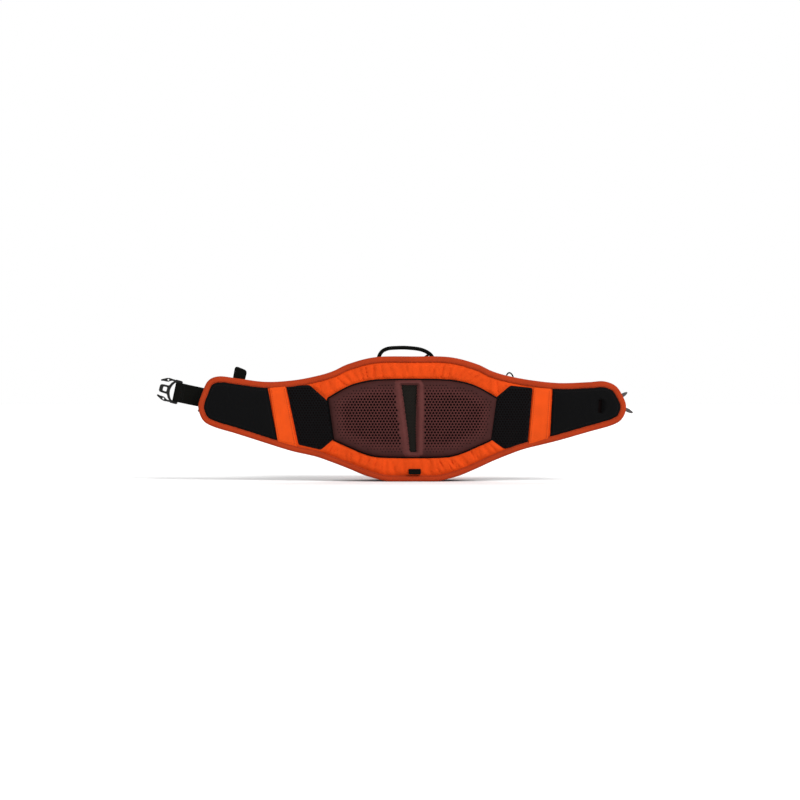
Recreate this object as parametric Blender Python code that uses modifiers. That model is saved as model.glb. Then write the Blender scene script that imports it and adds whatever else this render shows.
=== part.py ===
"""Lumbar hip pack, standing upright as it is worn: +Z up, +X to the wearer-side view's right,
the wearer's back towards -Y and the bag towards +Y. The origin is the centre of the flat base.
Lengths below are in millimetres and become metres when a shape is made."""

import math

import bmesh
import bpy
from mathutils import Matrix, Vector

MM = 0.001
GAP = 0.3

# Depth layers, front (wearer) to back
PANEL_FRONT = -48.0
PANEL_BACK = -36.0
BINDING_WIDTH = 10.0
BINDING_PROUD = 1.0
PAD_DEPTH = 9.5
COVER_DEPTH = 3.0
BAND_DEPTH = 1.8
BAG_BACK = 36.0
POCKET_BACK = 54.0
WING_POCKET_BACK = -14.0
WALL = 2.4

# Belt outline, right half, from the top centre round the wing's tip to the base centre
TOP_EDGE = [(0, 204), (60, 203), (104, 192), (130, 180), (157, 172), (195, 165), (240, 161.5),
            (287, 164.5), (314, 167)]
TIP_EDGE = [(330, 159), (341, 143), (349, 122), (342, 101), (326, 90)]
BASE_EDGE = [(287, 78), (240, 64), (208, 56), (182, 51), (157, 42), (130, 32), (104, 20.5),
             (76, 9), (46, 1), (28, 0), (0, 0)]
CURVE_STEPS = 3

# Wings: where they fold, and the covers sewn to their faces
FOLD_X = 150.0
FOLD_Y = -50.0
FOLD_GAP = 0.5
SIDE_MESH = [(152, 145), (166, 157), (203, 152.5), (187.5, 66), (152, 56)]
CROSS_BAND = [(204.5, 152), (229, 150), (219.5, 73), (189, 66)]
WING_PAD = [(231, 149), (268, 150.5), (303, 154.5), (322, 145), (335, 114), (316, 101.5),
            (222.5, 74.5)]
WING_POCKET = [(163, 64), (163, 158.5), (330, 133), (330, 119)]

# Lumbar pad, right half, and the tapered channel down its middle
PAD_EDGE = [(0, 166), (40, 165.5), (72, 163), (104, 154), (138, 135), (128.5, 68), (104, 57),
            (78, 46), (52, 40.5), (0, 39.5)]
CHANNEL = [(-18, 157), (6, 157), (5.2, 49), (-2.3, 49)]

# Bag body and back pocket
BAG_EDGE = [(-42, 0), (42, 0), (104, 27), (136, 52), (136, 160), (98, 182), (52, 190.5),
            (-52, 190.5), (-98, 182), (-136, 160), (-136, 52), (-104, 27)]
POCKET_EDGE = [(-60, 14), (60, 14), (98, 44), (98, 128), (76, 140), (-76, 140), (-98, 128),
               (-98, 44)]
MAIN_ZIP_Z = 170.0
MAIN_ZIP_HALF = 104.0
BACK_ZIP_Z = 122.0
BACK_ZIP_HALF = 72.0

# Zips, sliders and leaf-shaped pulls
TAPE_WIDTH = 22.0
WING_TAPE_WIDTH = 12.0
TAPE = 1.2
COIL_WIDTH = 5.0
COIL = 1.6
SLIDER_LENGTH = 10.0
SLIDER_WIDTH = 8.0
SLIDER_HEIGHT = 4.0
PULL_DEPTH = 2.4
LEAF_WIDTH = 5.6
WING_PULL_Y = -25.5
WING_ZIP_LENGTH = 128.0
WING_ZIP_START = 8.0
HINGE_DROP = 1.5
LEAF_START = 4.0
LEAF_END = 22.0

# Webbing and side-release buckle
WEB_WIDTH = 32.0
WEB = 1.5
STRAP_TILT = math.radians(12)
BUCKLE_TILT = math.radians(15)
BAR_POINT = (-390.0, 146.0)
STRAP_Y = -11.2
LOOP_RADIUS = 3.9
BUCKLE_DEPTH = 3.6
LEFT_STRAP_START = -205.0
KEEPER_U, KEEPER_LENGTH = -72.0, 14.0
ADJUSTER_U, ADJUSTER_LENGTH = -136.0, 22.0
RIGHT_FOLD = (326.0, 132.0)
RIGHT_BAR_U = 84.0
FEMALE_HALF_DEPTH = 5.2
FEMALE_BAR_HALF = 2.0
SOCKET_HALF = 2.9

# Carry handle
HANDLE_X = -11.5
HANDLE_HALF = 46.5
HANDLE_TOP = 221.5
HANDLE_BAND = 6.0
HANDLE_Y = -27.0
HANDLE_DEPTH = 9.0
HANDLE_AXIS_Z = 204.0

ORANGE = (0.78, 0.07, 0.012)
RUST = (0.42, 0.045, 0.012)
BLACK = (0.012, 0.012, 0.013)
MAROON = (0.07, 0.02, 0.02)
GREY = (0.07, 0.068, 0.066)


# ---------------------------------------------------------------- scene helpers


def clear_scene():
    for obj in list(bpy.data.objects):
        bpy.data.objects.remove(obj)


def new_collection(name):
    found = bpy.data.collections.new(name)
    bpy.context.scene.collection.children.link(found)
    return found


def material(name, color, roughness=0.8, metallic=0.0):
    mat = bpy.data.materials.new(name)
    mat.use_nodes = True
    shader = mat.node_tree.nodes["Principled BSDF"]
    shader.inputs["Base Color"].default_value = (*color, 1.0)
    shader.inputs["Roughness"].default_value = roughness
    shader.inputs["Metallic"].default_value = metallic
    return mat


def pivot(name, x, y, z, parent=None):
    """An empty on a joint's axis, which carries the pieces that turn or slide together."""
    empty = bpy.data.objects.new(name, None)
    PARTS.objects.link(empty)
    empty.matrix_world = Matrix.Translation(Vector((x, y, z)) * MM)
    attach(empty, parent)
    return empty


def attach(obj, parent):
    if parent is None:
        return
    bpy.context.view_layer.update()
    obj.parent = parent
    obj.matrix_parent_inverse = parent.matrix_world.inverted()
    bpy.context.view_layer.update()


def frame_matrix(origin, x_axis, y_axis):
    x_axis = Vector(x_axis).normalized()
    y_axis = Vector(y_axis).normalized()
    z_axis = x_axis.cross(y_axis)
    turn = Matrix((x_axis, y_axis, z_axis)).transposed().to_4x4()
    return Matrix.Translation(Vector(origin) * MM) @ turn


def flat_solid(name, loops, half, matrix, look, parent=None, collection=None):
    """A closed solid from flat outlines, the first one outside and the rest holes."""
    curve = bpy.data.curves.new(name, "CURVE")
    curve.dimensions = "2D"
    curve.fill_mode = "BOTH"
    curve.extrude = half * MM
    for loop in loops:
        spline = curve.splines.new("POLY")
        spline.points.add(len(loop) - 1)
        for point, (a, b) in zip(spline.points, loop):
            point.co = (a * MM, b * MM, 0, 1)
        spline.use_cyclic_u = True
    return mesh_from_curve(curve, name, matrix, look, parent, collection)


def mesh_from_curve(curve, name, matrix, look, parent, collection=None):
    """The curve's own shape as a welded mesh, so that it can be cut and bevelled."""
    source = bpy.data.objects.new(name + "_curve", curve)
    bpy.context.scene.collection.objects.link(source)
    bpy.context.view_layer.update()
    evaluated = source.evaluated_get(bpy.context.evaluated_depsgraph_get())
    mesh = bpy.data.meshes.new_from_object(evaluated)
    bpy.data.objects.remove(source)
    cage = bmesh.new()
    cage.from_mesh(mesh)
    bmesh.ops.remove_doubles(cage, verts=cage.verts, dist=1e-6)
    bmesh.ops.recalc_face_normals(cage, faces=cage.faces)
    cage.to_mesh(mesh)
    cage.free()
    mesh.materials.clear()
    mesh.materials.append(look)
    obj = bpy.data.objects.new(name, mesh)
    (collection or PARTS).objects.link(obj)
    obj.matrix_world = matrix
    attach(obj, parent)
    return obj


def plate(name, loops, front, back, look, parent=None, collection=None):
    """A flat piece in an upright plane, from its front depth to its back depth."""
    matrix = frame_matrix((0, (front + back) / 2, 0), (1, 0, 0), (0, 0, 1))
    return flat_solid(name, loops, (back - front) / 2, matrix, look, parent, collection)


def tube(name, points, radius, look, parent=None):
    curve = bpy.data.curves.new(name, "CURVE")
    curve.dimensions = "3D"
    curve.bevel_depth = radius * MM
    curve.bevel_resolution = 2
    curve.use_fill_caps = True
    spline = curve.splines.new("POLY")
    spline.points.add(len(points) - 1)
    for point, place in zip(spline.points, points):
        point.co = (*(c * MM for c in place), 1)
    return mesh_from_curve(curve, name, Matrix.Identity(4), look, parent)


def soften(obj, width, segments=2):
    """Rounds the rims, where a face turns by about a right angle."""
    bevel = obj.modifiers.new("Bevel", "BEVEL")
    bevel.width = width * MM
    bevel.segments = segments
    bevel.limit_method = "ANGLE"
    bevel.angle_limit = math.radians(60)
    return obj


def cut(obj, cutter, solver="EXACT"):
    cutter.hide_render = True
    cutter.display_type = "WIRE"
    boolean = obj.modifiers.new("Cut", "BOOLEAN")
    boolean.operation = "DIFFERENCE"
    boolean.solver = solver
    boolean.object = cutter
    return obj


# ---------------------------------------------------------------- outlines


def smooth_line(points, steps):
    """Catmull-Rom points through the given ones, ends kept."""
    padded = [points[0]] + list(points) + [points[-1]]
    line = []
    for p0, p1, p2, p3 in zip(padded, padded[1:], padded[2:], padded[3:]):
        for step in range(steps):
            t = step / steps
            line.append(tuple(
                0.5 * (2 * b + (c - a) * t + (2 * a - 5 * b + 4 * c - d) * t * t
                       + (3 * b - a - 3 * c + d) * t ** 3)
                for a, b, c, d in zip(p0, p1, p2, p3)))
    return line + [tuple(points[-1])]


def inset_line(line, distance):
    """The line moved to its right-hand side, which is inwards on a clockwise outline."""
    moved = []
    for i, (x, z) in enumerate(line):
        before = line[max(i - 1, 0)]
        after = line[min(i + 1, len(line) - 1)]
        dx, dz = after[0] - before[0], after[1] - before[1]
        size = math.hypot(dx, dz)
        moved.append((x + dz / size * distance, z - dx / size * distance))
    return moved


def split_at(line, x):
    """The stretch before the line first passes x, the one beyond it, and the one after it returns."""
    parts = [[]]
    for a, b in zip(line, line[1:]):
        parts[-1].append(a)
        if (a[0] - x) * (b[0] - x) < 0:
            t = (x - a[0]) / (b[0] - a[0])
            crossing = (x, a[1] + (b[1] - a[1]) * t)
            parts[-1].append(crossing)
            parts.append([crossing])
    parts[-1].append(line[-1])
    return parts


def mirrored(points):
    return [(-x, z) for x, z in reversed(points)]


def on_side(points, side):
    return [(side * x, z) for x, z in points]


def whole(half):
    """A symmetric closed outline from its right half, which starts and ends on the middle."""
    return half + mirrored(half)[1:-1]


def rounded(points, radius, steps=3):
    """The polygon with each corner replaced by a short arc-like curve."""
    done = []
    for i, corner in enumerate(points):
        here = Vector(corner)
        before = Vector(points[i - 1]) - here
        after = Vector(points[(i + 1) % len(points)]) - here
        start = here + before.normalized() * min(radius, before.length * 0.45)
        end = here + after.normalized() * min(radius, after.length * 0.45)
        for step in range(steps + 1):
            t = step / steps
            done.append(tuple(start * (1 - t) ** 2 + here * 2 * t * (1 - t) + end * t * t))
    return done


def grown(points, distance):
    """A convex outline with every point moved away from the middle, or towards it if negative."""
    middle = sum((Vector(p) for p in points), Vector((0, 0))) / len(points)
    moved = []
    for p in points:
        away = Vector(p) - middle
        moved.append(tuple(Vector(p) + away.normalized() * distance))
    return moved


def box_ring(x, z, half_x, half_z):
    return [(x - half_x, z - half_z), (x + half_x, z - half_z), (x + half_x, z + half_z),
            (x - half_x, z + half_z)]


def ring_of(x, z, radius, sides=10):
    turns = [2 * math.pi * k / sides for k in range(sides)]
    return [(x + radius * math.cos(t), z + radius * math.sin(t)) for t in turns]


# ---------------------------------------------------------------- belt


def belt_lines(inset):
    line = smooth_line(TOP_EDGE + TIP_EDGE + BASE_EDGE, CURVE_STEPS)
    return split_at(inset_line(line, inset) if inset else line, FOLD_X)


def strip(outer, inner):
    return outer + list(reversed(inner))


def panel_and_binding():
    outer = belt_lines(0)
    seam = belt_lines(BINDING_WIDTH - GAP)
    core = belt_lines(BINDING_WIDTH)
    front = PANEL_FRONT - BINDING_PROUD
    back = PANEL_BACK
    centre = trimmed(core[0], "low") + trimmed(core[2], "low")
    plate("back_panel", [whole(centre)], PANEL_FRONT, PANEL_BACK, LOOKS["orange"])
    for name, part in (("binding_top", 0), ("binding_base", 2)):
        rim = trimmed(outer[part], "low")
        hem = trimmed(seam[part], "low")
        if part == 2:
            rim, hem = list(reversed(rim)), list(reversed(hem))
        loop = mirrored(rim)[:-1] + rim + list(reversed(hem)) + [(-x, z) for x, z in hem[1:]]
        plate(name, [loop], front, back, LOOKS["rust"])
    for side, word in SIDES:
        loop = on_side(trimmed(core[1], "high"), side)
        plate(word + "_wing", [loop], PANEL_FRONT, PANEL_BACK, LOOKS["orange"], WINGS[side])
        loop = strip(trimmed(outer[1], "high"), trimmed(seam[1], "high"))
        plate(word + "_wing_binding", [on_side(loop, side)], front, back, LOOKS["rust"],
              WINGS[side])


def trimmed(line, side_of_fold):
    """Keeps a small gap to the fold line at either end of a stretch."""
    shift = -FOLD_GAP if side_of_fold == "low" else FOLD_GAP
    return [(x + shift if abs(x - FOLD_X) < 1e-6 else x, z) for x, z in line]


def lumbar_pad():
    front = PANEL_FRONT - GAP - PAD_DEPTH
    back = PANEL_FRONT - GAP
    outline = whole(smooth_line(PAD_EDGE[:5], 3) + smooth_line(PAD_EDGE[5:], 3))
    pad = plate("lumbar_pad", [outline, rounded(CHANNEL, 3, 2)], front, back, LOOKS["maroon"])
    soften(pad, 3.5)
    channel = rounded(grown(CHANNEL, -1.2), 2.5, 2)
    plate("spine_channel", [channel], back - 4, back, LOOKS["mesh"])


def wing_covers():
    back = PANEL_FRONT - GAP
    for side, word in SIDES:
        body = WINGS[side]
        plate(word + "_side_mesh", [rounded(on_side(SIDE_MESH, side), 4, 2)],
              back - COVER_DEPTH, back, LOOKS["mesh"], body)
        plate(word + "_cross_band", [on_side(CROSS_BAND, side)], back - BAND_DEPTH, back,
              LOOKS["orange"], body)
        plate(word + "_wing_pad", [rounded(on_side(WING_PAD, side), 9, 3)],
              back - COVER_DEPTH, back, LOOKS["black"], body)


def base_tab():
    back = PANEL_FRONT - GAP
    tab = rounded([(-6.5, 11.5), (13.5, 11.5), (13.5, 20.5), (-6.5, 20.5)], 2, 2)
    plate("base_tab", [tab], back - 1.6, back, LOOKS["grey"])


# ---------------------------------------------------------------- bags


def open_bag(name, edge, corner, front, back, rim, look, parent=None, solver="EXACT"):
    """A pocket's walls: closed towards the back, open where it is sewn to the panel."""
    bag = plate(name, [rounded(edge, corner)], front, back, look, parent)
    soften(bag, rim)
    inner = rounded(grown_box(edge, -WALL), corner * 0.8)
    cutter = plate(name + "_inside", [inner], front - 3, back - WALL, look, parent, CUTTERS)
    soften(cutter, rim * 0.7)
    return cut(bag, cutter, solver)


def grown_box(points, distance):
    """Each side moved in or out by the distance, on a convex outline."""
    area = sum(a[0] * b[1] - b[0] * a[1] for a, b in zip(points, points[1:] + points[:1]))
    turn = 1 if area > 0 else -1
    lines = []
    for a, b in zip(points, points[1:] + points[:1]):
        along = (Vector(b) - Vector(a)).normalized()
        out = Vector((along.y, -along.x)) * turn * distance
        lines.append((Vector(a) + out, along))
    moved = []
    for (p, d), (q, e) in zip(lines[-1:] + lines[:-1], lines):
        t = (q - p).cross(e) / d.cross(e)
        moved.append(tuple(p + d * t))
    return moved


def bags():
    start = PANEL_BACK + GAP
    open_bag("main_bag", BAG_EDGE, 14, start, BAG_BACK, 9, LOOKS["black"])
    open_bag("back_pocket", POCKET_EDGE, 12, BAG_BACK + GAP, POCKET_BACK, 6, LOOKS["orange"])
    for side, word in SIDES:
        edge = on_side(WING_POCKET, side)
        open_bag(word + "_wing_pocket", edge, 7, start, WING_POCKET_BACK, 4, LOOKS["black"],
                 WINGS[side], "MANIFOLD")


# ---------------------------------------------------------------- zips


def coil_strip(name, tape_width, length, matrix, parent=None):
    """Zip tape with its raised row of teeth, as one extruded profile."""
    t, c = tape_width / 2, COIL_WIDTH / 2
    profile = [(-t, 0), (t, 0), (t, TAPE), (c, TAPE), (c, TAPE + COIL), (-c, TAPE + COIL),
               (-c, TAPE), (-t, TAPE)]
    flat_solid(name, [profile], length / 2, matrix, LOOKS["black"], parent)


def leaf(root, tip, width):
    """A pointed leaf between two points, widest a third of the way along."""
    a, b = Vector(root), Vector(tip)
    along = b - a
    across = Vector((-along.y, along.x)).normalized() * width / 2
    shares = ((0.0, 0.45), (0.12, 0.85), (0.3, 1.0), (0.55, 0.85), (0.8, 0.5), (0.95, 0.16))
    left = [tuple(a + along * t + across * w) for t, w in shares]
    right = [tuple(a + along * t - across * w) for t, w in reversed(shares)]
    return left + [tuple(b)] + right


def pull_outline(hinge, root, tip):
    """A cord link from the slider, widening into the leaf."""
    leaf_loop = leaf(root, tip, LEAF_WIDTH)
    a, b = Vector(hinge), Vector(root)
    across = Vector((-(b - a).y, (b - a).x)).normalized() * 1.0
    end = (b - a).normalized() * 0.6
    return leaf_loop + [tuple(a - across), tuple(a - end), tuple(a + across)]


def face_zip(prefix, z, half, face, sliders):
    """A level zip on an upright face that looks towards +Y, with hanging pulls."""
    matrix = frame_matrix((0, face + GAP, z), (0, 0, 1), (0, 1, 0))
    coil_strip(prefix + "_zip", TAPE_WIDTH, 2 * half, matrix)
    low = face + GAP + TAPE + COIL + GAP
    for word, x in sliders:
        tag = prefix + "_slider" + word
        body = pivot(tag + "_body", x, low, z)
        box = box_ring(x, z, SLIDER_LENGTH / 2, SLIDER_WIDTH / 2)
        plate(tag, [rounded(box, 2, 2)], low, low + SLIDER_HEIGHT, LOOKS["grey"], body)
        axis_z = z - SLIDER_WIDTH / 2 - HINGE_DROP
        middle = low + SLIDER_HEIGHT / 2 + 0.6
        hanger = pivot(prefix + "_pull" + word + "_body", x, middle, axis_z, body)
        loop = pull_outline((x, axis_z), (x, axis_z - LEAF_START), (x, axis_z - LEAF_END))
        plate(prefix + "_pull" + word, [loop], middle - PULL_DEPTH / 2,
              middle + PULL_DEPTH / 2, LOOKS["grey"], hanger)


def wing_wall(side, upper):
    """The outer corner of a wing pocket's upper or lower wall, and its direction inwards."""
    inner, outer = (WING_POCKET[1], WING_POCKET[2]) if upper else (WING_POCKET[0], WING_POCKET[3])
    start = Vector((side * outer[0], outer[1]))
    along = (Vector((side * inner[0], inner[1])) - start).normalized()
    out = Vector((-along.y, along.x))
    if (out.y > 0) != upper:
        out = -out
    return start, along, out


def wing_zip(side, upper, word, hooks):
    """A zip along one wall of a wing pocket, its slider parked at the wing's tip."""
    start, along, out = wing_wall(side, upper)
    body = WINGS[side]
    middle = start + along * (WING_ZIP_LENGTH / 2 + WING_ZIP_START) + out * GAP
    tag = word + ("_upper" if upper else "_lower")
    matrix = frame_matrix((middle.x, WING_PULL_Y, middle.y), (0, 1, 0), (out.x, 0, out.y))
    coil_strip(tag + "_zip", WING_TAPE_WIDTH, WING_ZIP_LENGTH, matrix, body)
    if hooks is None:
        return
    low = start + along * 9 + out * (GAP + TAPE + COIL + GAP)
    tail = low - along * (SLIDER_LENGTH - 1)
    box = [tuple(low), tuple(tail), tuple(tail + out * SLIDER_HEIGHT * 0.7),
           tuple(low + out * SLIDER_HEIGHT)]
    runner = pivot(tag + "_slider_body", low.x, WING_PULL_Y, low.y, body)
    plate(tag + "_slider", [rounded(box, 1.2, 2)], WING_PULL_Y - SLIDER_WIDTH / 2,
          WING_PULL_Y + SLIDER_WIDTH / 2, LOOKS["grey"], runner)
    hinge = tail - along * 1.8 + out * 1.6
    hanger = pivot(tag + "_pull_body", hinge.x, WING_PULL_Y, hinge.y, runner)
    root, tip = hooks
    loop = pull_outline(tuple(hinge), (side * root[0], root[1]), (side * tip[0], tip[1]))
    plate(tag + "_pull", [loop], WING_PULL_Y - PULL_DEPTH / 2, WING_PULL_Y + PULL_DEPTH / 2,
          LOOKS["grey"], hanger)


def zips():
    face_zip("main", MAIN_ZIP_Z, MAIN_ZIP_HALF, BAG_BACK, (("_left", -8), ("_right", 8)))
    face_zip("pocket", BACK_ZIP_Z, BACK_ZIP_HALF, POCKET_BACK, (("", -60),))
    wing_zip(1, True, "right", ((339.5, 137), (353.5, 145.5)))
    wing_zip(1, False, "right", ((346, 120), (362.5, 111.5)))
    wing_zip(-1, False, "left", ((340.3, 117), (353.3, 115)))
    wing_zip(-1, True, "left", None)


# ---------------------------------------------------------------- straps and buckles


def ribbon(name, path, origin, along, look, parent, width=WEB_WIDTH, thick=WEB):
    """Webbing of one thickness, from the side view of its run: along it, and towards +Y."""
    line = smooth_line(path, 1)
    loop = strip(inset_line(line, thick / 2), inset_line(line, -thick / 2))
    matrix = frame_matrix((origin[0], 0, origin[1]), (along[0], 0, along[1]), (0, 1, 0))
    return flat_solid(name, [loop], width / 2, matrix, look, parent)


def wrap(bar_u, bar_y, side):
    """The half turn that webbing takes round a bar, from the run's side to the other."""
    turns = [math.radians(-90 + 180 * k / 8) for k in range(9)]
    return [(bar_u + LOOP_RADIUS * math.cos(t), bar_y + side * LOOP_RADIUS * math.sin(t))
            for t in turns]


def sleeve(name, at_u, length, origin, along, y, look, parent):
    """A flat loop round the webbing."""
    w, t = WEB_WIDTH / 2, WEB / 2
    outer = [(-w - 3.2, y - t - 1.75), (w + 3.2, y - t - 1.75), (w + 3.2, y + t + 1.75),
             (-w - 3.2, y + t + 1.75)]
    hole = [(-w - 0.5, y - t - 0.35), (w + 0.5, y - t - 0.35), (w + 0.5, y + t + 0.35),
            (-w - 0.5, y + t + 0.35)]
    across = (along[1], 0, -along[0])
    place = (origin[0] + along[0] * at_u, 0, origin[1] + along[1] * at_u)
    matrix = frame_matrix(place, across, (0, 1, 0))
    flat_solid(name, [outer, hole], length / 2, matrix, look, parent)


def left_strap():
    """The belt's webbing on the left wing, with the male buckle on its end."""
    along = (-math.cos(STRAP_TILT), math.sin(STRAP_TILT))
    body = pivot("left_strap_body", BAR_POINT[0], STRAP_Y, BAR_POINT[1], WINGS[-1])
    bar_y = STRAP_Y + LOOP_RADIUS
    run = [(LEFT_STRAP_START, STRAP_Y), (-40, STRAP_Y), (-3, STRAP_Y)]
    tail = [(-4, bar_y + LOOP_RADIUS), (-15, bar_y + LOOP_RADIUS - 0.6)]
    ribbon("left_webbing", run + wrap(0, bar_y, 1) + tail, BAR_POINT, along, LOOKS["web"], body)
    sleeve("left_keeper", KEEPER_U, KEEPER_LENGTH, BAR_POINT, along, STRAP_Y, LOOKS["web"], WINGS[-1])
    sleeve("left_adjuster", ADJUSTER_U, ADJUSTER_LENGTH, BAR_POINT, along, STRAP_Y,
           LOOKS["plastic"], WINGS[-1])
    male_buckle(body, bar_y)


def male_buckle(parent, y):
    """Frame, yoke and guide tongue in one moulding, and two prongs that flex inwards."""
    body = pivot("male_buckle_body", BAR_POINT[0], y, BAR_POINT[1], parent)
    along = (-math.cos(BUCKLE_TILT), math.sin(BUCKLE_TILT))
    half = [(-1.4, 0), (-1.4, 16.7), (-5, 16.7), (-5, 18.4), (-3.5, 19.5), (6.6, 19.5),
            (6.6, 16.9), (8.8, 15.9), (11.2, 12.5), (13.2, 7), (14.4, 5.6), (22.5, 4.8),
            (24, 3.4), (24, 0)]
    window = [(10, 0), (9.6, 6), (8.8, 11), (7.4, 15), (5.4, 16.7), (1.3, 16.7), (1.3, 0)]
    eye = rounded([(15.2, -2.9), (21.4, -2.7), (21.4, 2.7), (15.2, 2.9)], 1.6, 2)
    outer = half + [(u, -v) for u, v in reversed(half[1:-1])]
    slot = window + [(u, -v) for u, v in reversed(window[1:-1])]
    matrix = frame_matrix((BAR_POINT[0], y, BAR_POINT[1]), (along[0], 0, along[1]),
                          (along[1], 0, -along[0]))
    flat_solid("male_buckle", [outer, slot, eye], BUCKLE_DEPTH / 2, matrix, LOOKS["plastic"],
               body)
    for sign, word in ((1, "upper"), (-1, "lower")):
        prong = [(7.2, 17.3), (7.2, 19.5), (13, 19.2), (19.5, 17), (25, 12.6), (24.6, 10.8),
                 (21.6, 11), (15, 14), (10.2, 16.4)]
        loop = [(u, sign * v) for u, v in prong]
        hole = [(u, sign * v) for u, v in ring_of(17, 15.6, 1.3, 8)]
        root = matrix @ Vector((6.9 * MM, sign * 18.4 * MM, 0))
        flex = pivot("prong_" + word + "_body", *(c / MM for c in root), body)
        flat_solid("prong_" + word, [loop, hole], BUCKLE_DEPTH / 2 - 0.3, matrix,
                   LOOKS["plastic"], flex)


def right_strap():
    """The right webbing, folded back behind its wing, with the female buckle on its end."""
    along = (-math.cos(STRAP_TILT), -math.sin(STRAP_TILT))
    fold = RIGHT_FOLD
    axis_y = WING_POCKET_BACK + GAP + WEB + 1.0
    patch_y = WING_POCKET_BACK + GAP + WEB / 2
    run_y = axis_y + 1.1
    ribbon("right_strap_anchor", [(2, patch_y), (40, patch_y)], fold, along, LOOKS["web"],
           WINGS[1])
    swing = pivot("right_strap_body", fold[0], axis_y, fold[1], WINGS[1])
    bar_u = RIGHT_BAR_U
    bar_y = run_y + LOOP_RADIUS
    tail = [(bar_u - 4, bar_y + LOOP_RADIUS), (bar_u - 22, bar_y + LOOP_RADIUS - 1)]
    path = [(1, run_y), (60, run_y), (bar_u - 3, run_y)] + wrap(bar_u, bar_y, 1) + tail
    ribbon("right_webbing", path, fold, along, LOOKS["web"], swing)
    female_buckle(swing, fold, along, bar_u, bar_y)


def female_buckle(parent, fold, along, bar_u, y):
    """A socket between two walls, open at its mouth and at the sides for the prongs."""
    x = fold[0] + along[0] * bar_u
    z = fold[1] + along[1] * bar_u
    body = pivot("female_buckle_body", x, y, z, parent)
    matrix = frame_matrix((x, y, z), (along[0], 0, along[1]), (along[1], 0, -along[0]))
    half = [(-1.4, 0), (-1.4, 18.4), (0, 19.4), (20, 20.4), (38, 18.6), (41, 16), (41, 0)]
    outer = half + [(u, -v) for u, v in reversed(half[1:-1])]
    slot = [(1.3, -16.6), (8.2, -16.6), (8.2, 16.6), (1.3, 16.6)]
    shell = flat_solid("female_buckle", [outer, slot], FEMALE_HALF_DEPTH, matrix,
                       LOOKS["plastic"], body)
    for sign, word in ((1, "back"), (-1, "front")):
        step = matrix @ Matrix.Translation(Vector((0, 0, sign * (FEMALE_BAR_HALF + 2.5) * MM)))
        relief = [(-6, -25), (9.5, -25), (9.5, 25), (-6, 25)]
        cut(shell, flat_solid("female_step_" + word, [relief], 2.5, step, LOOKS["plastic"],
                              body, CUTTERS))
    socket = [(12, -15.2), (44, -15.2), (44, 15.2), (12, 15.2)]
    cut(shell, flat_solid("female_socket", [socket], SOCKET_HALF, matrix, LOOKS["plastic"],
                          body, CUTTERS))
    sides = [(15, -24), (26, -24), (26, 24), (15, 24)]
    cut(shell, flat_solid("female_windows", [sides], SOCKET_HALF - 0.05, matrix,
                          LOOKS["plastic"], body, CUTTERS))


# ---------------------------------------------------------------- handle, tab and loop


def carry_handle():
    body = pivot("handle_body", HANDLE_X, HANDLE_Y, HANDLE_AXIS_Z)
    rise = HANDLE_TOP - HANDLE_BAND / 2
    half = HANDLE_HALF - HANDLE_BAND / 2
    path = [(-half, 202.5), (-half + 3, 208), (-half + 14, rise - 1.6), (-half + 26, rise),
            (half - 24, rise - 1), (half - 9, rise - 4), (half - 1, 208), (half + 1, 202.5)]
    line = [(HANDLE_X + x, z) for x, z in smooth_line(path, 2)]
    loop = strip(inset_line(line, HANDLE_BAND / 2), inset_line(line, -HANDLE_BAND / 2))
    plate("carry_handle", [loop], HANDLE_Y - HANDLE_DEPTH / 2, HANDLE_Y + HANDLE_DEPTH / 2,
          LOOKS["web"], body)
    for word, x in (("left", HANDLE_X - half), ("right", HANDLE_X + half)):
        foot = rounded([(x - 5, 190.8), (x + 5, 190.8), (x + 4, 198), (x - 4, 198)], 1.5, 2)
        plate("handle_anchor_" + word, [foot], HANDLE_Y - 5, HANDLE_Y + 5, LOOKS["web"])


def top_tab():
    """A stitched fabric tab behind the left wing's upper edge."""
    front = PANEL_BACK + GAP
    body = pivot("top_tab_body", -288.75, front + 1.2, 149.5, WINGS[-1])
    edge = rounded([(-297, 151), (-280.5, 148), (-273, 181.5), (-289, 187.5)], 2.5, 2)
    plate("top_tab", [edge], front, front + 2.4, LOOKS["black"], body)


def cord_loop():
    """A loop of thin cord behind the right wing's upper edge."""
    y = PANEL_BACK + 2.0
    body = pivot("cord_loop_body", 159, y, 160, WINGS[1])
    path = [(154, 160), (153.6, 170), (155.6, 175.5), (159, 177.4), (162.6, 175.2), (165, 170),
            (165.4, 160)]
    points = [(x, y, z) for x, z in smooth_line(path, 2)]
    tube("cord_loop", points, 0.9, LOOKS["black"], body)


clear_scene()
PARTS = new_collection("lumbar_hip_pack")
CUTTERS = new_collection("cutters")
SIDES = ((-1, "left"), (1, "right"))
LOOKS = {
    "orange": material("orange_fabric", ORANGE),
    "rust": material("binding_tape", RUST),
    "black": material("black_fabric", BLACK, 0.7),
    "mesh": material("black_mesh", BLACK, 0.85),
    "maroon": material("perforated_foam", MAROON, 0.75),
    "web": material("webbing", BLACK, 0.75),
    "plastic": material("buckle_plastic", BLACK, 0.35),
    "grey": material("grey_rubber", GREY, 0.5),
}
WINGS = {side: pivot(word + "_wing_body", side * FOLD_X, FOLD_Y, 0) for side, word in SIDES}

panel_and_binding()
lumbar_pad()
wing_covers()
base_tab()
bags()
zips()
left_strap()
right_strap()
carry_handle()
top_tab()
cord_loop()
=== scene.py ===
"""Looks of the lumbar hip pack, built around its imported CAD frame.
Outlines are in millimetres in the frame's X and Z, as in the CAD; meshes are in metres.
"left" and "right" are those of the wearer-side view. side is -1 or 1 for the sign of X."""
import math

import bmesh
import bpy
import numpy as np
from mathutils import Matrix, Vector, noise
from mathutils.bvhtree import BVHTree
from mathutils.geometry import delaunay_2d_cdt


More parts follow.
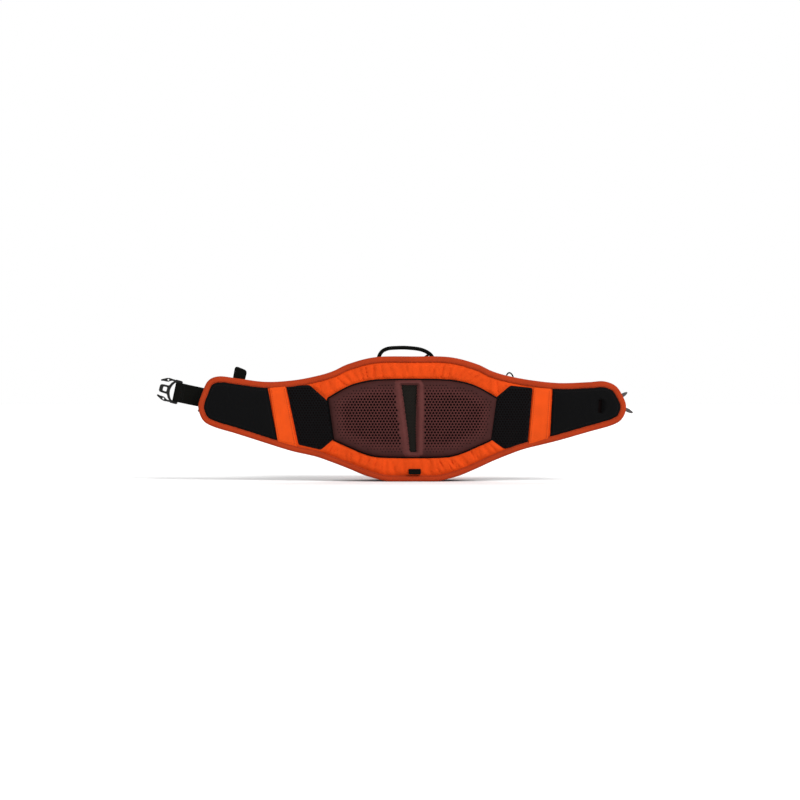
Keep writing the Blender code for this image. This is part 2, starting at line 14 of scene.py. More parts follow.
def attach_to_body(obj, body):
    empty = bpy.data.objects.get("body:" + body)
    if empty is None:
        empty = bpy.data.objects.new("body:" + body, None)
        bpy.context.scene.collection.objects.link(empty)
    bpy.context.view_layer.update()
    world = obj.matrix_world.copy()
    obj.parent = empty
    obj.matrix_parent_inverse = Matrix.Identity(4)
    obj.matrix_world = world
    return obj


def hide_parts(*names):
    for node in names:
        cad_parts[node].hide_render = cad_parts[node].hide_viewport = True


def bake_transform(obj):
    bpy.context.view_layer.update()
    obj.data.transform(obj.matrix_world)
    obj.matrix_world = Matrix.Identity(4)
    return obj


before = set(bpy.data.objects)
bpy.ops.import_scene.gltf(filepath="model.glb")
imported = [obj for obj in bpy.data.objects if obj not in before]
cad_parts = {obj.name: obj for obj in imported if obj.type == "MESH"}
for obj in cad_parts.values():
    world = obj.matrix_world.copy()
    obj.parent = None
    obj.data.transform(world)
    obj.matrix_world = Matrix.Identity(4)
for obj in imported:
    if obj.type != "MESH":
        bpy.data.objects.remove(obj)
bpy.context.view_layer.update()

MM = 0.001
ROW = 0.866  # between the rows of a triangular lattice, as a share of its spacing
SIDES = ((-1, "left"), (1, "right"))

# Belt outline of each half, from the top centre round the wing's tip to the base centre
TOP_MIDDLE = [(0, 204), (60, 203), (104, 192), (130, 180), (157, 172), (195, 165)]
BASE_MIDDLE = [(104, 20.5), (76, 9), (46, 1), (28, 0), (0, 0)]
WING_EDGE = {
    -1: [(240, 162.5), (285, 168), (316, 171.5), (334, 164), (344, 143), (350, 121.5),
         (342.5, 100), (325, 89), (287, 77.5), (240, 62.5), (210, 53), (192, 48), (157, 40),
         (130, 30.5)],
    1: [(240, 160.5), (287, 162), (312, 163.5), (331, 156.5), (342, 142), (349, 122),
        (343, 103), (327, 92), (287, 80.5), (240, 67), (208, 59), (182, 52.5), (157, 43.5),
        (130, 32.5)],
}
BINDING = 10.0

# Depths (Y) of the belt's soft layers
FACE_Y = -48.4
BACK_Y = -36.4

# The orange face: how far it puffs out, and how deep its folds are
FACE_PUFF, FOLD_DEPTH, PULL_DEPTH, RIPPLE_DEPTH, WAVE_DEPTH = 4.6, 4.2, 3.0, 1.1, 0.6

# The lumbar cushion: its height, and its holes' spacing, size and depth
CUSHION_HEIGHT, CUSHION_CROWN, CHANNEL_RIB = 7.2, 1.3, 9.0
FOAM_HOLE_PITCH, FOAM_HOLE_RADIUS, FOAM_HOLE_DEPTH = 5.2, 2.1, 2.6
MESH_HOLE_PITCH, MESH_HOLE_RADIUS, MESH_HOLE_DEPTH = 4.6, 1.65, 0.9
PANEL_PUFF, WING_PUFF, WING_CROWN = 2.4, 3.4, 1.6

PAD_TOP = [(0, 166), (40, 165.5), (72, 163), (104, 154), (138, 135)]
PAD_BASE = [(128.5, 68), (104, 57), (78, 46), (52, 40.5), (0, 39.5)]
CHANNEL = [(-20, 158.5), (9.0, 158.5), (7.6, 47), (-6.0, 47)]

SIDE_PANEL = {
    -1: [(137, 128), (141, 133.5), (168, 157.5), (206, 154.5), (186, 60), (149.5, 51.5),
         (128.5, 69)],
    1: [(133, 127), (134.5, 135.5), (159.5, 156.5), (196, 152.5), (188, 63), (149.5, 53),
        (126, 70)],
}
CROSS_BAND = {
    -1: [(207.5, 156), (233, 153), (219.8, 65), (188.5, 56)],
    1: [(198, 153.5), (226, 151), (221, 69), (189.5, 59.5)],
}
PAD_INNER = {-1: [(234, 151), (219.5, 62)], 1: [(226.5, 150), (222, 70)]}


# ---------------------------------------------------------------- outlines


def smooth_line(points, steps):
    """Catmull-Rom points through the given ones, ends kept."""
    padded = [points[0]] + list(points) + [points[-1]]
    line = []
    for p0, p1, p2, p3 in zip(padded, padded[1:], padded[2:], padded[3:]):
        for step in range(steps):
            t = step / steps
            line.append(tuple(
                0.5 * (2 * b + (c - a) * t + (2 * a - 5 * b + 4 * c - d) * t * t
                       + (3 * b - a - 3 * c + d) * t ** 3)
                for a, b, c, d in zip(p0, p1, p2, p3)))
    return line + [tuple(points[-1])]


def respaced(line, spacing, closed=False):
    """The polyline with points at an even spacing, as an array."""
    points = np.array(line, float)
    if closed:
        points = np.vstack([points, points[:1]])
    runs = run_lengths(points)
    count = max(int(round(runs[-1] / spacing)), 3)
    at = np.linspace(0, runs[-1], count + 1)
    even = np.stack([np.interp(at, runs, points[:, k]) for k in range(points.shape[1])], 1)
    return even[:-1] if closed else even


def rounded(points, radius, steps=5):
    """The polygon with each corner replaced by a short curve."""
    done = []
    for i, corner in enumerate(points):
        here = Vector(corner)
        before = Vector(points[i - 1]) - here
        after = Vector(points[(i + 1) % len(points)]) - here
        start = here + before.normalized() * min(radius, before.length * 0.45)
        end = here + after.normalized() * min(radius, after.length * 0.45)
        for step in range(steps + 1):
            t = step / steps
            done.append(tuple(start * (1 - t) ** 2 + here * 2 * t * (1 - t) + end * t * t))
    return done


def on_side(points, side):
    return [(side * x, z) for x, z in points]


def normals_2d(line, closed=False):
    """Unit vectors to the right-hand side of each point's direction."""
    if closed:
        along = np.roll(line, -1, 0) - np.roll(line, 1, 0)
    else:
        along = np.gradient(line, axis=0)
    along /= np.linalg.norm(along, axis=1)[:, None]
    return np.stack([along[:, 1], -along[:, 0]], 1)


def inside(points, polygon):
    """Which points lie in the polygon."""
    x, z = points[:, 0][:, None], points[:, 1][:, None]
    a = np.array(polygon, float)
    b = np.roll(a, -1, 0)
    spans = (a[:, 1] > z) != (b[:, 1] > z)
    drop = np.where(b[:, 1] == a[:, 1], 1e-9, b[:, 1] - a[:, 1])
    cross = (b[:, 0] - a[:, 0]) * (z - a[:, 1]) / drop + a[:, 0]
    return ((x < cross) & spans).sum(1) % 2 == 1


def distance(points, line, closed=False):
    """Each point's distance to the polyline, and how far along it the nearest place is."""
    a = np.array(line, float)
    b = np.roll(a, -1, 0) if closed else a[1:]
    a = a if closed else a[:-1]
    runs = np.r_[0, np.cumsum(np.linalg.norm(b - a, axis=1))]
    best = np.full(len(points), 1e9)
    where = np.zeros(len(points))
    for i, (p, q) in enumerate(zip(a, b)):
        along = q - p
        size = float(along @ along) or 1e-12
        t = np.clip((points - p) @ along / size, 0, 1)
        gap = np.linalg.norm(points - (p + t[:, None] * along), axis=1)
        near = gap < best
        best[near] = gap[near]
        where[near] = (runs[i] + t * math.sqrt(size))[near]
    return best, where


def wobble(values, scale, seed=0.0):
    """Smooth noise along one coordinate, about -1 to 1."""
    return np.array([noise.noise(Vector((v / scale, seed, 0.5 * seed))) * 2 for v in values])


def wobble_2d(points, scale, seed=0.0):
    return np.array([noise.noise(Vector((x / scale, z / scale, seed))) * 2 for x, z in points])


def upright(points, y):
    """Places in space of points in X and Z, at the depth y."""
    points = np.asarray(points, float)
    return np.stack([points[:, 0], np.broadcast_to(y, len(points)), points[:, 1]], 1)


def run_lengths(points):
    """How far along the polyline each of its points is."""
    return np.r_[0, np.cumsum(np.linalg.norm(np.diff(points, axis=0), axis=1))]


def flat_depth(y):
    """A depth that is the same all over, as a function of place."""
    return lambda p: np.full(len(p), y)


def towards_wearer(count):
    """So many normals of the belt's face."""
    return np.tile((0.0, -1.0, 0.0), (count, 1))


def belt_half(side):
    line = smooth_line(TOP_MIDDLE + WING_EDGE[side] + BASE_MIDDLE, 8)
    return respaced(on_side(line, side), 2.5)


# ---------------------------------------------------------------- meshes


def new_object(name, points, faces, looks, face_looks=None, smooth_angle=40):
    """A mesh object from millimetre points, with its rest places kept for the materials."""
    mesh = bpy.data.meshes.new(name)
    points = np.asarray(points, float)
    mesh.from_pydata((points * MM).tolist(), [], [tuple(int(i) for i in f) for f in faces])
    cage = bmesh.new()
    cage.from_mesh(mesh)
    bmesh.ops.recalc_face_normals(cage, faces=cage.faces)
    cage.to_mesh(mesh)
    cage.free()
    for look in looks if isinstance(looks, (list, tuple)) else [looks]:
        mesh.materials.append(look)
    if face_looks is not None:
        mesh.polygons.foreach_set("material_index", np.asarray(face_looks, np.int32))
    mesh.shade_smooth()
    mesh.set_sharp_from_angle(angle=math.radians(smooth_angle))
    keep_rest(mesh)
    return placed(name, mesh)


def placed(name, data):
    """An object with this data, in the scene."""
    obj = bpy.data.objects.new(name, data)
    bpy.context.scene.collection.objects.link(obj)
    return obj


def read(items, key):
    """A vector property of all the items, a row each."""
    values = np.empty(len(items) * 3)
    items.foreach_get(key, values)
    return values.reshape(-1, 3)


def keep_rest(mesh, weave=None):
    """Stores places in millimetres for the materials: "place" at each point, and "weave" at each
    face corner, the two directions along its surface, which fabric patterns follow."""
    place = read(mesh.vertices, "co") / MM
    stored = mesh.attributes.get("place") or mesh.attributes.new("place", "FLOAT_VECTOR", "POINT")
    stored.data.foreach_set("vector", place.ravel())
    corners = np.empty(len(mesh.loops), np.int32)
    mesh.loops.foreach_get("vertex_index", corners)
    if weave is None:
        normals = read(mesh.polygons, "normal")
        sizes = np.empty(len(mesh.polygons), np.int32)
        mesh.polygons.foreach_get("loop_total", sizes)
        main = np.repeat(np.abs(normals).argmax(1), sizes)
        first = np.array([1, 0, 0])[main]
        second = np.array([2, 2, 1])[main]
        at = place[corners]
        rows = np.arange(len(corners))
        values = np.stack([at[rows, first], at[rows, second], np.zeros(len(corners))], 1)
    else:
        values = np.asarray(weave, float)[corners]
    stored = mesh.attributes.get("weave") or mesh.attributes.new("weave", "FLOAT_VECTOR", "CORNER")
    stored.data.foreach_set("vector", values.ravel())


def lattice(outline, spacing, margin):
    """A triangular lattice of points inside the outline."""
    low, high = np.min(outline, 0), np.max(outline, 0)
    rows = []
    for k, z in enumerate(np.arange(low[1], high[1], spacing * ROW)):
        x = np.arange(low[0] + (k % 2) * spacing / 2, high[0], spacing)
        rows.append(np.stack([x, np.full(len(x), z)], 1))
    points = np.vstack(rows)
    points = points[inside(points, outline)]
    gap, _ = distance(points, outline, True)
    return points[gap > margin]


def attach(obj, body, slot_name, *nodes):
    """Hangs a piece on its body and hides the CAD nodes it replaces; slot_name is not used."""
    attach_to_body(obj, body)
    if nodes:
        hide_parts(*nodes)


def ring_faces(rings, size, closed=False):
    """The quads between neighbouring rings of the same number of points."""
    return [(i * size + k, i * size + (k + 1) % size,
             (i + 1) % rings * size + (k + 1) % size, (i + 1) % rings * size + k)
            for i in range(rings if closed else rings - 1) for k in range(size)]


def fabric_solid(name, outline, spacing, front, back, looks, loops=(), pit=0.0):
    """A closed soft piece over an outline: front and back are depths as functions of place.
    Loops are holes' rims, which are sunk by the pit depth."""
    rim = np.array(outline, float)
    inner = lattice(rim, spacing, spacing * 0.5)
    loops = [np.array(loop, float) for loop in loops]
    if loops:
        centres = np.array([loop.mean(0) for loop in loops])
        reach = max(np.linalg.norm(loop - loop.mean(0), axis=1).max() for loop in loops)
        far = np.ones(len(inner), bool)
        for c in centres:
            far &= np.linalg.norm(inner - c, axis=1) > reach + spacing * 0.35
        inner = inner[far]
    points = [rim, inner] + loops
    edges = [(i, (i + 1) % len(rim)) for i in range(len(rim))]
    start = len(rim) + len(inner)
    holes = []
    for loop in loops:
        holes.append(list(range(start, start + len(loop))))
        edges += [(start + i, start + (i + 1) % len(loop)) for i in range(len(loop))]
        start += len(loop)
    flat = np.vstack(points)
    made, _, faces, origin, _, _ = delaunay_2d_cdt(
        [Vector(p) for p in flat], edges, [], 0, 1e-5, True)
    made = np.array([tuple(p) for p in made])
    faces = np.array(faces)
    middles = made[faces].mean(1)
    keep = inside(middles, rim)
    for hole in holes:
        near = np.linalg.norm(middles - flat[hole].mean(0), axis=1) < 4
        keep[near] &= ~inside(middles[near], flat[hole])
    place = {}
    for new, olds in enumerate(origin):
        for old in olds:
            place[old] = new
    faces = faces[keep]
    n = len(made)
    y_front, y_back = front(made), back(made)
    verts = [upright(made, y_front), upright(made, y_back)]
    solid_faces = [tuple(f) for f in faces]
    marks = [0] * len(solid_faces)
    ring = [place[i] for i in range(len(rim))]
    top = 2 * n
    for hole in holes:
        ids = [place[i] for i in hole]
        floor = made[ids].mean(0) + (made[ids] - made[ids].mean(0)) * 0.8
        verts.append(np.stack([floor[:, 0], y_front[ids] + pit, floor[:, 1]], 1))
        lower = list(range(top, top + len(ids)))
        solid_faces += [(ids[i], ids[(i + 1) % len(ids)], lower[(i + 1) % len(ids)], lower[i])
                        for i in range(len(ids))]
        solid_faces.append(tuple(lower))
        # The pit's walls and floor take the second look; the callers give it the near-black hole
        # look, painted shade.
        marks += [1] * (len(ids) + 1)
        top += len(ids)
    if holes:
        solid_faces.append(tuple(n + i for i in ring))
        marks.append(len(looks) - 1 if isinstance(looks, list) else 0)
    else:
        solid_faces += [tuple(n + i for i in f[::-1]) for f in faces]
        marks += [1 if isinstance(looks, list) else 0] * len(faces)
    for i in range(len(ring)):
        a, b = ring[i], ring[(i + 1) % len(ring)]
        solid_faces.append((a, b, n + b, n + a))
        marks.append(0)
    points, solid_faces = without_loose(np.vstack(verts), solid_faces)
    return new_object(name, points, solid_faces, looks, marks)


def without_loose(points, faces):
    """The points that the faces use, and the faces counted on them."""
    used = np.zeros(len(points), bool)
    for face in faces:
        used[list(face)] = True
    place = np.cumsum(used) - 1
    return points[used], [tuple(int(place[i]) for i in face) for face in faces]


def swept(name, places, frames, profile, looks, closed=False, smooth_angle=40):
    """A profile carried along a path. places: path points; frames: two unit vectors a point."""
    places = np.asarray(places, float)
    profile = np.asarray(profile, float)
    rings = [p + np.outer(profile[:, 0], u) + np.outer(profile[:, 1], v)
             for p, (u, v) in zip(places, frames)]
    n, m = len(rings), len(profile)
    verts = np.vstack(rings)
    faces = ring_faces(n, m, closed)
    if not closed:
        faces += [tuple(range(m - 1, -1, -1)), tuple((n - 1) * m + k for k in range(m))]
    obj = new_object(name, verts, faces, looks, smooth_angle=smooth_angle)
    keep_rest(obj.data, weave_places(run_lengths(places), run_lengths(profile)))
    return obj


def weave_places(runs, girth):
    """Each point's two fabric directions, for rings of points along a run."""
    n, m = len(runs), len(girth)
    return np.stack([np.repeat(runs, m), np.tile(girth, n), np.zeros(n * m)], 1)


def unit(vector):
    return vector / np.linalg.norm(vector)


def path_frames(places, side_hint):
    """For each path point, the hint made square to the path, and the vector square to both."""
    places = np.asarray(places, float)
    along = np.gradient(places, axis=0)
    along /= np.linalg.norm(along, axis=1)[:, None]
    frames = []
    for t in along:
        u = np.asarray(side_hint, float)
        u = unit(u - t * (u @ t))
        frames.append((u, np.cross(t, u)))
    return frames


# A stitch's sections: how far along it, how high over the surface and how thick, as shares
STITCH_AT = np.array([0, 0.2, 0.5, 0.8, 1.0])
STITCH_LIFT = np.array([-0.25, 0.35, 0.6, 0.35, -0.25])
STITCH_THICK = np.array([0.35, 0.9, 1.0, 0.9, 0.35])


def stitch_row(name, places, normals, look, pitch=3.6, length=2.4, radius=0.3, sides=6):
    """Short threads lying on a surface along a path, each one sunk at its two ends."""
    places = np.asarray(places, float)
    runs = run_lengths(places)
    verts, faces = [], []
    for start in np.arange(pitch / 2, runs[-1] - length, pitch):
        at = start + STITCH_AT * length
        middle = np.stack([np.interp(at, runs, places[:, k]) for k in range(3)], 1)
        up = np.stack([np.interp(at, runs, normals[:, k]) for k in range(3)], 1)
        along = unit(middle[-1] - middle[0])
        lift = STITCH_LIFT * radius * 1.6
        thick = STITCH_THICK * radius
        base = len(verts)
        for p, n, h, r in zip(middle, up, lift, thick):
            n = unit(n)
            w = np.cross(along, n)
            for k in range(sides):
                a = 2 * math.pi * k / sides
                verts.append(p + n * (h + r * math.sin(a)) + w * r * 1.3 * math.cos(a))
        faces += [tuple(base + i for i in face) for face in ring_faces(5, sides)]
        faces.append(tuple(base + k for k in range(sides - 1, -1, -1)))
        faces.append(tuple(base + 4 * sides + k for k in range(sides)))
    return new_object(name, verts, faces, look)


def sewn(body, slot_name, *stitching):
    """A row of stitches that rides a body."""
    attach(stitch_row(*stitching), body, slot_name)


# ---------------------------------------------------------------- materials


class Look:
    """A material's node graph, with short calls for the nodes used here."""

    def __init__(self, name, **sockets):
        self.material = bpy.data.materials.new(name)
        self.material.use_nodes = True
        self.tree = self.material.node_tree
        self.shader = self.tree.nodes["Principled BSDF"]
        for key, value in sockets.items():
            self.shader.inputs[key.replace("_", " ")].default_value = value

    def new(self, kind, values=(), **settings):
        """A node with its settings, and with values or links put in by socket."""
        made = self.tree.nodes.new("ShaderNode" + kind)
        for key, value in settings.items():
            setattr(made, key, value)
        for key, value in dict(values).items():
            if isinstance(value, bpy.types.NodeSocket):
                self.tree.links.new(value, made.inputs[key])
            else:
                made.inputs[key].default_value = value
        return made

    def node(self, kind, inputs=(), **settings):
        return self.new(kind, enumerate(inputs), **settings).outputs[0]

    def math(self, operation, *values):
        return self.node("Math", values, operation=operation)

    def attribute(self, name, output="Vector"):
        return self.new("Attribute", attribute_name=name).outputs[output]

    def split(self, vector):
        return self.new("SeparateXYZ", {0: vector}).outputs[:2]

    def noise(self, vector, scale, detail=3.0, rough=0.55):
        return self.new("TexNoise", {"Vector": vector, "Scale": scale, "Detail": detail,
                                     "Roughness": rough}).outputs[0]

    def ramp(self, value, low, high, dark, light):
        """Dark colour at the low value to light colour at the high one."""
        made = self.new("ValToRGB", {0: value})
        for stop, place, color in zip(made.color_ramp.elements, (low, high), (dark, light)):
            stop.position = place
            stop.color = (*color, 1)
        return made.outputs[0]

    def multiplied(self, a, b):
        """Two colours multiplied."""
        return self.new("Mix", {0: 1.0, 6: a, 7: b}, data_type="RGBA",
                        blend_type="MULTIPLY").outputs[2]

    def finish(self, color=None, height=None, depth=0.2, strength=0.7, rough=None):
        if color is not None:
            self.tree.links.new(color, self.shader.inputs["Base Color"])
        if rough is not None:
            self.tree.links.new(rough, self.shader.inputs["Roughness"])
        if height is not None:
            bump = self.new("Bump", {"Strength": strength, "Distance": depth * MM,
                                     "Height": height})
            self.tree.links.new(bump.outputs[0], self.shader.inputs["Normal"])
        return self.material


def shaded(color, share):
    return tuple(c * share for c in color)


def ridge(look, coordinate, pitch):
    """Rounded ridges, 0 to 1, one every pitch."""
    turn = look.math("MULTIPLY", coordinate, math.pi / pitch)
    return look.math("ABSOLUTE", look.math("SINE", turn))


def woven(name, color, pitch, depth=0.22, spread=0.3, wear=0.12, kind="plain", **sockets):
    """Cloth whose threads cross over and under each other, with uneven dye and light wear."""
    look = Look(name, **sockets)
    a, b = look.split(look.attribute("weave"))
    place = look.attribute("place")
    if kind == "plain":
        cell_a = look.math("FLOOR", look.math("DIVIDE", a, pitch))
        cell_b = look.math("FLOOR", look.math("DIVIDE", b, pitch))
        over = look.math("ABSOLUTE", look.math("MODULO", look.math("ADD", cell_a, cell_b), 2.0))
        ridge_a, ridge_b = ridge(look, a, pitch), ridge(look, b, pitch)
        one = look.math("MULTIPLY", over, ridge_a)
        other = look.math("MULTIPLY", look.math("SUBTRACT", 1.0, over), ridge_b)
        height = look.math("ADD", one, other)
    elif kind == "herringbone":
        zigzag = look.math("PINGPONG", b, pitch * 2.2)
        height = ridge(look, look.math("ADD", a, zigzag), pitch)
    elif kind == "rib":
        height = look.math("MULTIPLY", ridge(look, a, pitch),
                           look.math("ADD", 0.7, look.math("MULTIPLY", 0.3, ridge(look, b, 0.5))))
    fibres = look.noise(place, 2.4, 4.0)
    height = look.math("ADD", height, look.math("MULTIPLY", fibres, 0.35))
    threads = look.ramp(height, 0.1, 1.15, shaded(color, 1 - spread),
                        shaded(color, 1 + spread * 0.5))
    patches = look.noise(place, 0.035, 3.0)
    dye = look.ramp(patches, 0.25, 0.75, (1 - wear,) * 3, (1 + wear * 0.5,) * 3)
    tone = look.multiplied(threads, dye)
    rough = look.math("ADD", 0.72, look.math("MULTIPLY", patches, 0.2))
    return look.finish(tone, height, depth, rough=rough)


def moulded(name, color, rough, grain=0.05, **sockets):
    """Moulded plastic or rubber with a fine spark-eroded grain and handling marks."""
    look = Look(name, **sockets)
    place = look.attribute("place")
    grains = look.noise(place, 3.5, 3.0)
    marks = look.noise(place, 0.22, 5.0, 0.7)
    tone = look.ramp(marks, 0.3, 0.75, shaded(color, 0.85), shaded(color, 1.25))
    gloss = look.math("ADD", rough - 0.08, look.math("MULTIPLY", marks, 0.2))
    return look.finish(tone, grains, grain, 0.5, rough=gloss)


def foam(name, color, painted_light_and_shade=False, **sockets):
    """Moulded foam skin: matte, with a very fine leathery grain."""
    look = Look(name, **sockets)
    place = look.attribute("place")
    cells = look.new("TexVoronoi", {"Vector": place, "Scale": 1.5})
    soft = look.noise(place, 0.05, 4.0)
    fine = look.noise(place, 1.2, 4.0)
    tone = look.multiplied(look.ramp(fine, 0.3, 0.7, shaded(color, 0.88), shaded(color, 1.1)),
                           look.ramp(soft, 0.3, 0.7, (0.9,) * 3, (1.06,) * 3))
    # Painted shade and painted highlight: the colour is multiplied by the "tone" share that tone()
    # stores
    if painted_light_and_shade:
        tone = look.multiplied(tone, look.attribute("tone", "Color"))
    return look.finish(tone, cells.outputs["Distance"], 0.12, 0.5)


ORANGE = (0.60, 0.055, 0.0055)
RUST = (0.34, 0.034, 0.0075)
LOOKS = {
    "orange": woven("orange_cloth", ORANGE, 0.9, 0.2, 0.22, Specular_IOR_Level=0.06),
    "band": woven("orange_webbing", (0.63, 0.065, 0.007), 1.5, 0.3, 0.25, kind="herringbone",
                  Specular_IOR_Level=0.06),
    "rust": woven("rust_binding_tape", RUST, 1.15, 0.25, 0.3, kind="rib",
                  Specular_IOR_Level=0.06),
    "black": woven("black_cloth", (0.0028, 0.0028, 0.003), 0.8, 0.2, 0.35,
                   Specular_IOR_Level=0.05),
    "bag": woven("black_ripstop", (0.008, 0.008, 0.0088), 1.3, 0.25, 0.35,
                 Specular_IOR_Level=0.14),
    "mesh": woven("black_spacer_mesh", (0.0034, 0.0034, 0.0038), 1.1, 0.25, 0.3,
                  Specular_IOR_Level=0.06),
    "channel": woven("channel_mesh", (0.0125, 0.011, 0.009), 0.9, 0.25, 0.3,
                     Specular_IOR_Level=0.06),
    "web": woven("black_webbing", (0.003, 0.0031, 0.0024), 1.5, 0.35, 0.35,
                 kind="herringbone", Specular_IOR_Level=0.05),
    "tape": woven("zip_tape", (0.006, 0.006, 0.006), 1.0, 0.25, 0.3, kind="herringbone",
                  Specular_IOR_Level=0.1),
    # The foam takes the painted shade and painted highlight of its "tone" share
    "foam": foam("perforated_foam", (0.064, 0.018, 0.0165), True, Roughness=0.75,
                 Specular_IOR_Level=0.1),
    # Painted shade: near-black walls and floors of the holes' shallow pits stand in for the shade
    # deep inside the holes
    "hole": foam("hole_painted_shade", (0.004, 0.002, 0.002), Roughness=0.9, Specular_IOR_Level=0.03),
    "plastic": moulded("buckle_plastic", (0.004, 0.004, 0.0036), 0.4,
                       Specular_IOR_Level=0.25),
    "coil": moulded("zip_coil", (0.006, 0.006, 0.006), 0.35, Specular_IOR_Level=0.25),
    "grey": moulded("grey_rubber", (0.07, 0.066, 0.066), 0.55, Specular_IOR_Level=0.3),
    "thread": moulded("black_thread", (0.008, 0.008, 0.008), 0.6, Specular_IOR_Level=0.1),
    "rust_thread": moulded("rust_thread", (0.22, 0.024, 0.007), 0.6, Specular_IOR_Level=0.1),
}


FLOOR_REACH, FLOOR_DROP = 40.0, 0.0004
SURROUNDINGS, SEEN_SURROUNDINGS = 0.36, 1.0
SUNS = (("key", (0.95, -1.0, 0.95), 2.9, 28), ("fill", (-0.9, -1.0, 0.7), 0.75, 60),
        ("back", (0.1, 1.0, 1.1), 1.2, 50))
EYE, LENS, SENSOR = (-0.0204, -3.05, 0.1328), 82.8, 36.0


def studio():
    """White floor and surroundings, a soft key light from the right and a weaker fill."""
    floor_look = Look("floor", Roughness=0.9, Specular_IOR_Level=0.0)
    spot = floor_look.noise(floor_look.node("TexCoord"), 1.0)
    floor_look.finish(floor_look.ramp(spot, 0.2, 0.8, (0.96,) * 3, (0.98,) * 3))
    mesh = bpy.data.meshes.new("floor")
    far = FLOOR_REACH
    mesh.from_pydata([(-far, -far, 0), (far, -far, 0), (far, far, 0), (-far, far, 0)], [],
                     [(0, 1, 2, 3)])
    mesh.materials.append(floor_look.material)
    floor = placed("floor", mesh)
    floor.location.z = -FLOOR_DROP

    world = bpy.data.worlds.new("studio")
    world.use_nodes = True
    tree = world.node_tree
    fill = tree.nodes["Background"]
    fill.inputs["Color"].default_value = (1, 1, 1, 1)
    fill.inputs["Strength"].default_value = SURROUNDINGS
    seen = tree.nodes.new("ShaderNodeBackground")
    seen.inputs["Strength"].default_value = SEEN_SURROUNDINGS
    seen.inputs["Color"].default_value = (1, 1, 1, 1)
    path = tree.nodes.new("ShaderNodeLightPath")
    mix = tree.nodes.new("ShaderNodeMixShader")
    tree.links.new(path.outputs["Is Camera Ray"], mix.inputs[0])
    tree.links.new(fill.outputs[0], mix.inputs[1])
    tree.links.new(seen.outputs[0], mix.inputs[2])
    tree.links.new(mix.outputs[0], tree.nodes["World Output"].inputs[0])
    bpy.context.scene.world = world

    for name, towards, power, spread in SUNS:
        lamp = bpy.data.lights.new(name, "SUN")
        lamp.energy = power
        lamp.angle = math.radians(spread)
        obj = placed(name, lamp)
        obj.rotation_euler = Vector(towards).to_track_quat("Z", "Y").to_euler()

    camera = bpy.data.cameras.new("camera")
    camera.sensor_width = SENSOR
    camera.lens = LENS
    camera.clip_end = 100.0
    eye = placed("camera", camera)
    eye.location = EYE
    eye.rotation_euler = (math.pi / 2, 0, 0)
    bpy.context.scene.camera = eye
    bpy.context.scene.view_settings.view_transform = "Standard"


# ---------------------------------------------------------------- belt


def soft_step(values, width):
    t = np.clip(np.asarray(values, float) / width, 0, 1)
    return t * t * (3 - 2 * t)


def crease(values, scale, seed, power=7):
    """Narrow creases at uneven places along one coordinate, 0 to 1."""
    return (1 - np.minimum(np.abs(wobble(values, scale, seed)), 1)) ** power


def grown_line(points, distance):
    """A closed outline moved outwards, or inwards if negative."""
    line = np.array(points, float)
    area = (line[:, 0] * np.roll(line[:, 1], -1) - np.roll(line[:, 0], -1) * line[:, 1]).sum()
    return line + normals_2d(line, True) * (distance if area > 0 else -distance)


def inner_seam(side):
    """Where the binding's inner edge is stitched to the belt's face."""
    line = belt_half(side)
    return line + normals_2d(line) * (BINDING - 0.6) * side


def covers_of(side):
    return [on_side(SIDE_PANEL[side], side), on_side(CROSS_BAND[side], side),
            wing_pad_outline(side)]


def wing_pad_outline(side):
    """From the cross band outwards, the pad fills the wing up to the binding's seam."""
    seam = inner_seam(side)
    top, base = PAD_INNER[side]
    share = (seam[:, 1] - base[1]) / (top[1] - base[1])
    limit = base[0] + (top[0] - base[0]) * np.clip(share, 0, 1)
    return respaced(rounded([tuple(p) for p in seam[np.abs(seam[:, 0]) > limit]], 1.0, 2), 2.6,
                    True)


def pad_outline():
    half = smooth_line(PAD_TOP, 6) + smooth_line(PAD_BASE, 6)
    return respaced(half + [(-x, z) for x, z in reversed(half)][1:-1], 2.4, True)


def belt_skin(side, word):
    """The orange face, puffed between its seams and puckered along the binding and the pad."""
    seam = inner_seam(side)
    seam[[0, -1], 0] = 0
    middle = np.linspace(seam[-1, 1], seam[0, 1], 78)[1:-1]
    outline = np.vstack([seam, np.stack([np.zeros(len(middle)), middle], 1)])
    solid = covers_of(side)
    pad = pad_outline()

    def front(p):
        gap, run = distance(p, seam)
        to_pad, pad_run = distance(p, pad, True)
        to_pad[inside(p, pad)] = 0
        free = to_pad
        for cover in solid:
            reach, _ = distance(p, cover, True)
            reach[inside(p, cover)] = 0
            free = np.minimum(free, reach)
        rise = soft_step(gap, 8) * soft_step(free, 6)
        calm = 0.25 + 0.75 * soft_step(np.abs(p[:, 0]), 14)
        slant = run + gap * 0.5 * wobble(run, 50, side)
        folds = crease(slant, 13, 3 + side, 5) * np.exp(-gap / 30)
        pulls = crease(pad_run + to_pad * 0.4 * side, 16, 9 + side, 5) * np.exp(-to_pad / 14)
        ripples = wobble(slant, 8, 14 + side) * np.exp(-np.minimum(gap, free) / 9)
        waves = wobble_2d(p, 26, 5.0) * WAVE_DEPTH
        lift = FACE_PUFF * rise + (waves - (FOLD_DEPTH * folds + PULL_DEPTH * pulls) * calm
                                   + RIPPLE_DEPTH * ripples * calm) * rise
        return FACE_Y - lift + (1 - soft_step(gap, 3.5)) * 1.1

    return fabric_solid(word + "_belt_face", outline, 2.4, front, flat_depth(BACK_Y),
                        [LOOKS["orange"], LOOKS["black"]])


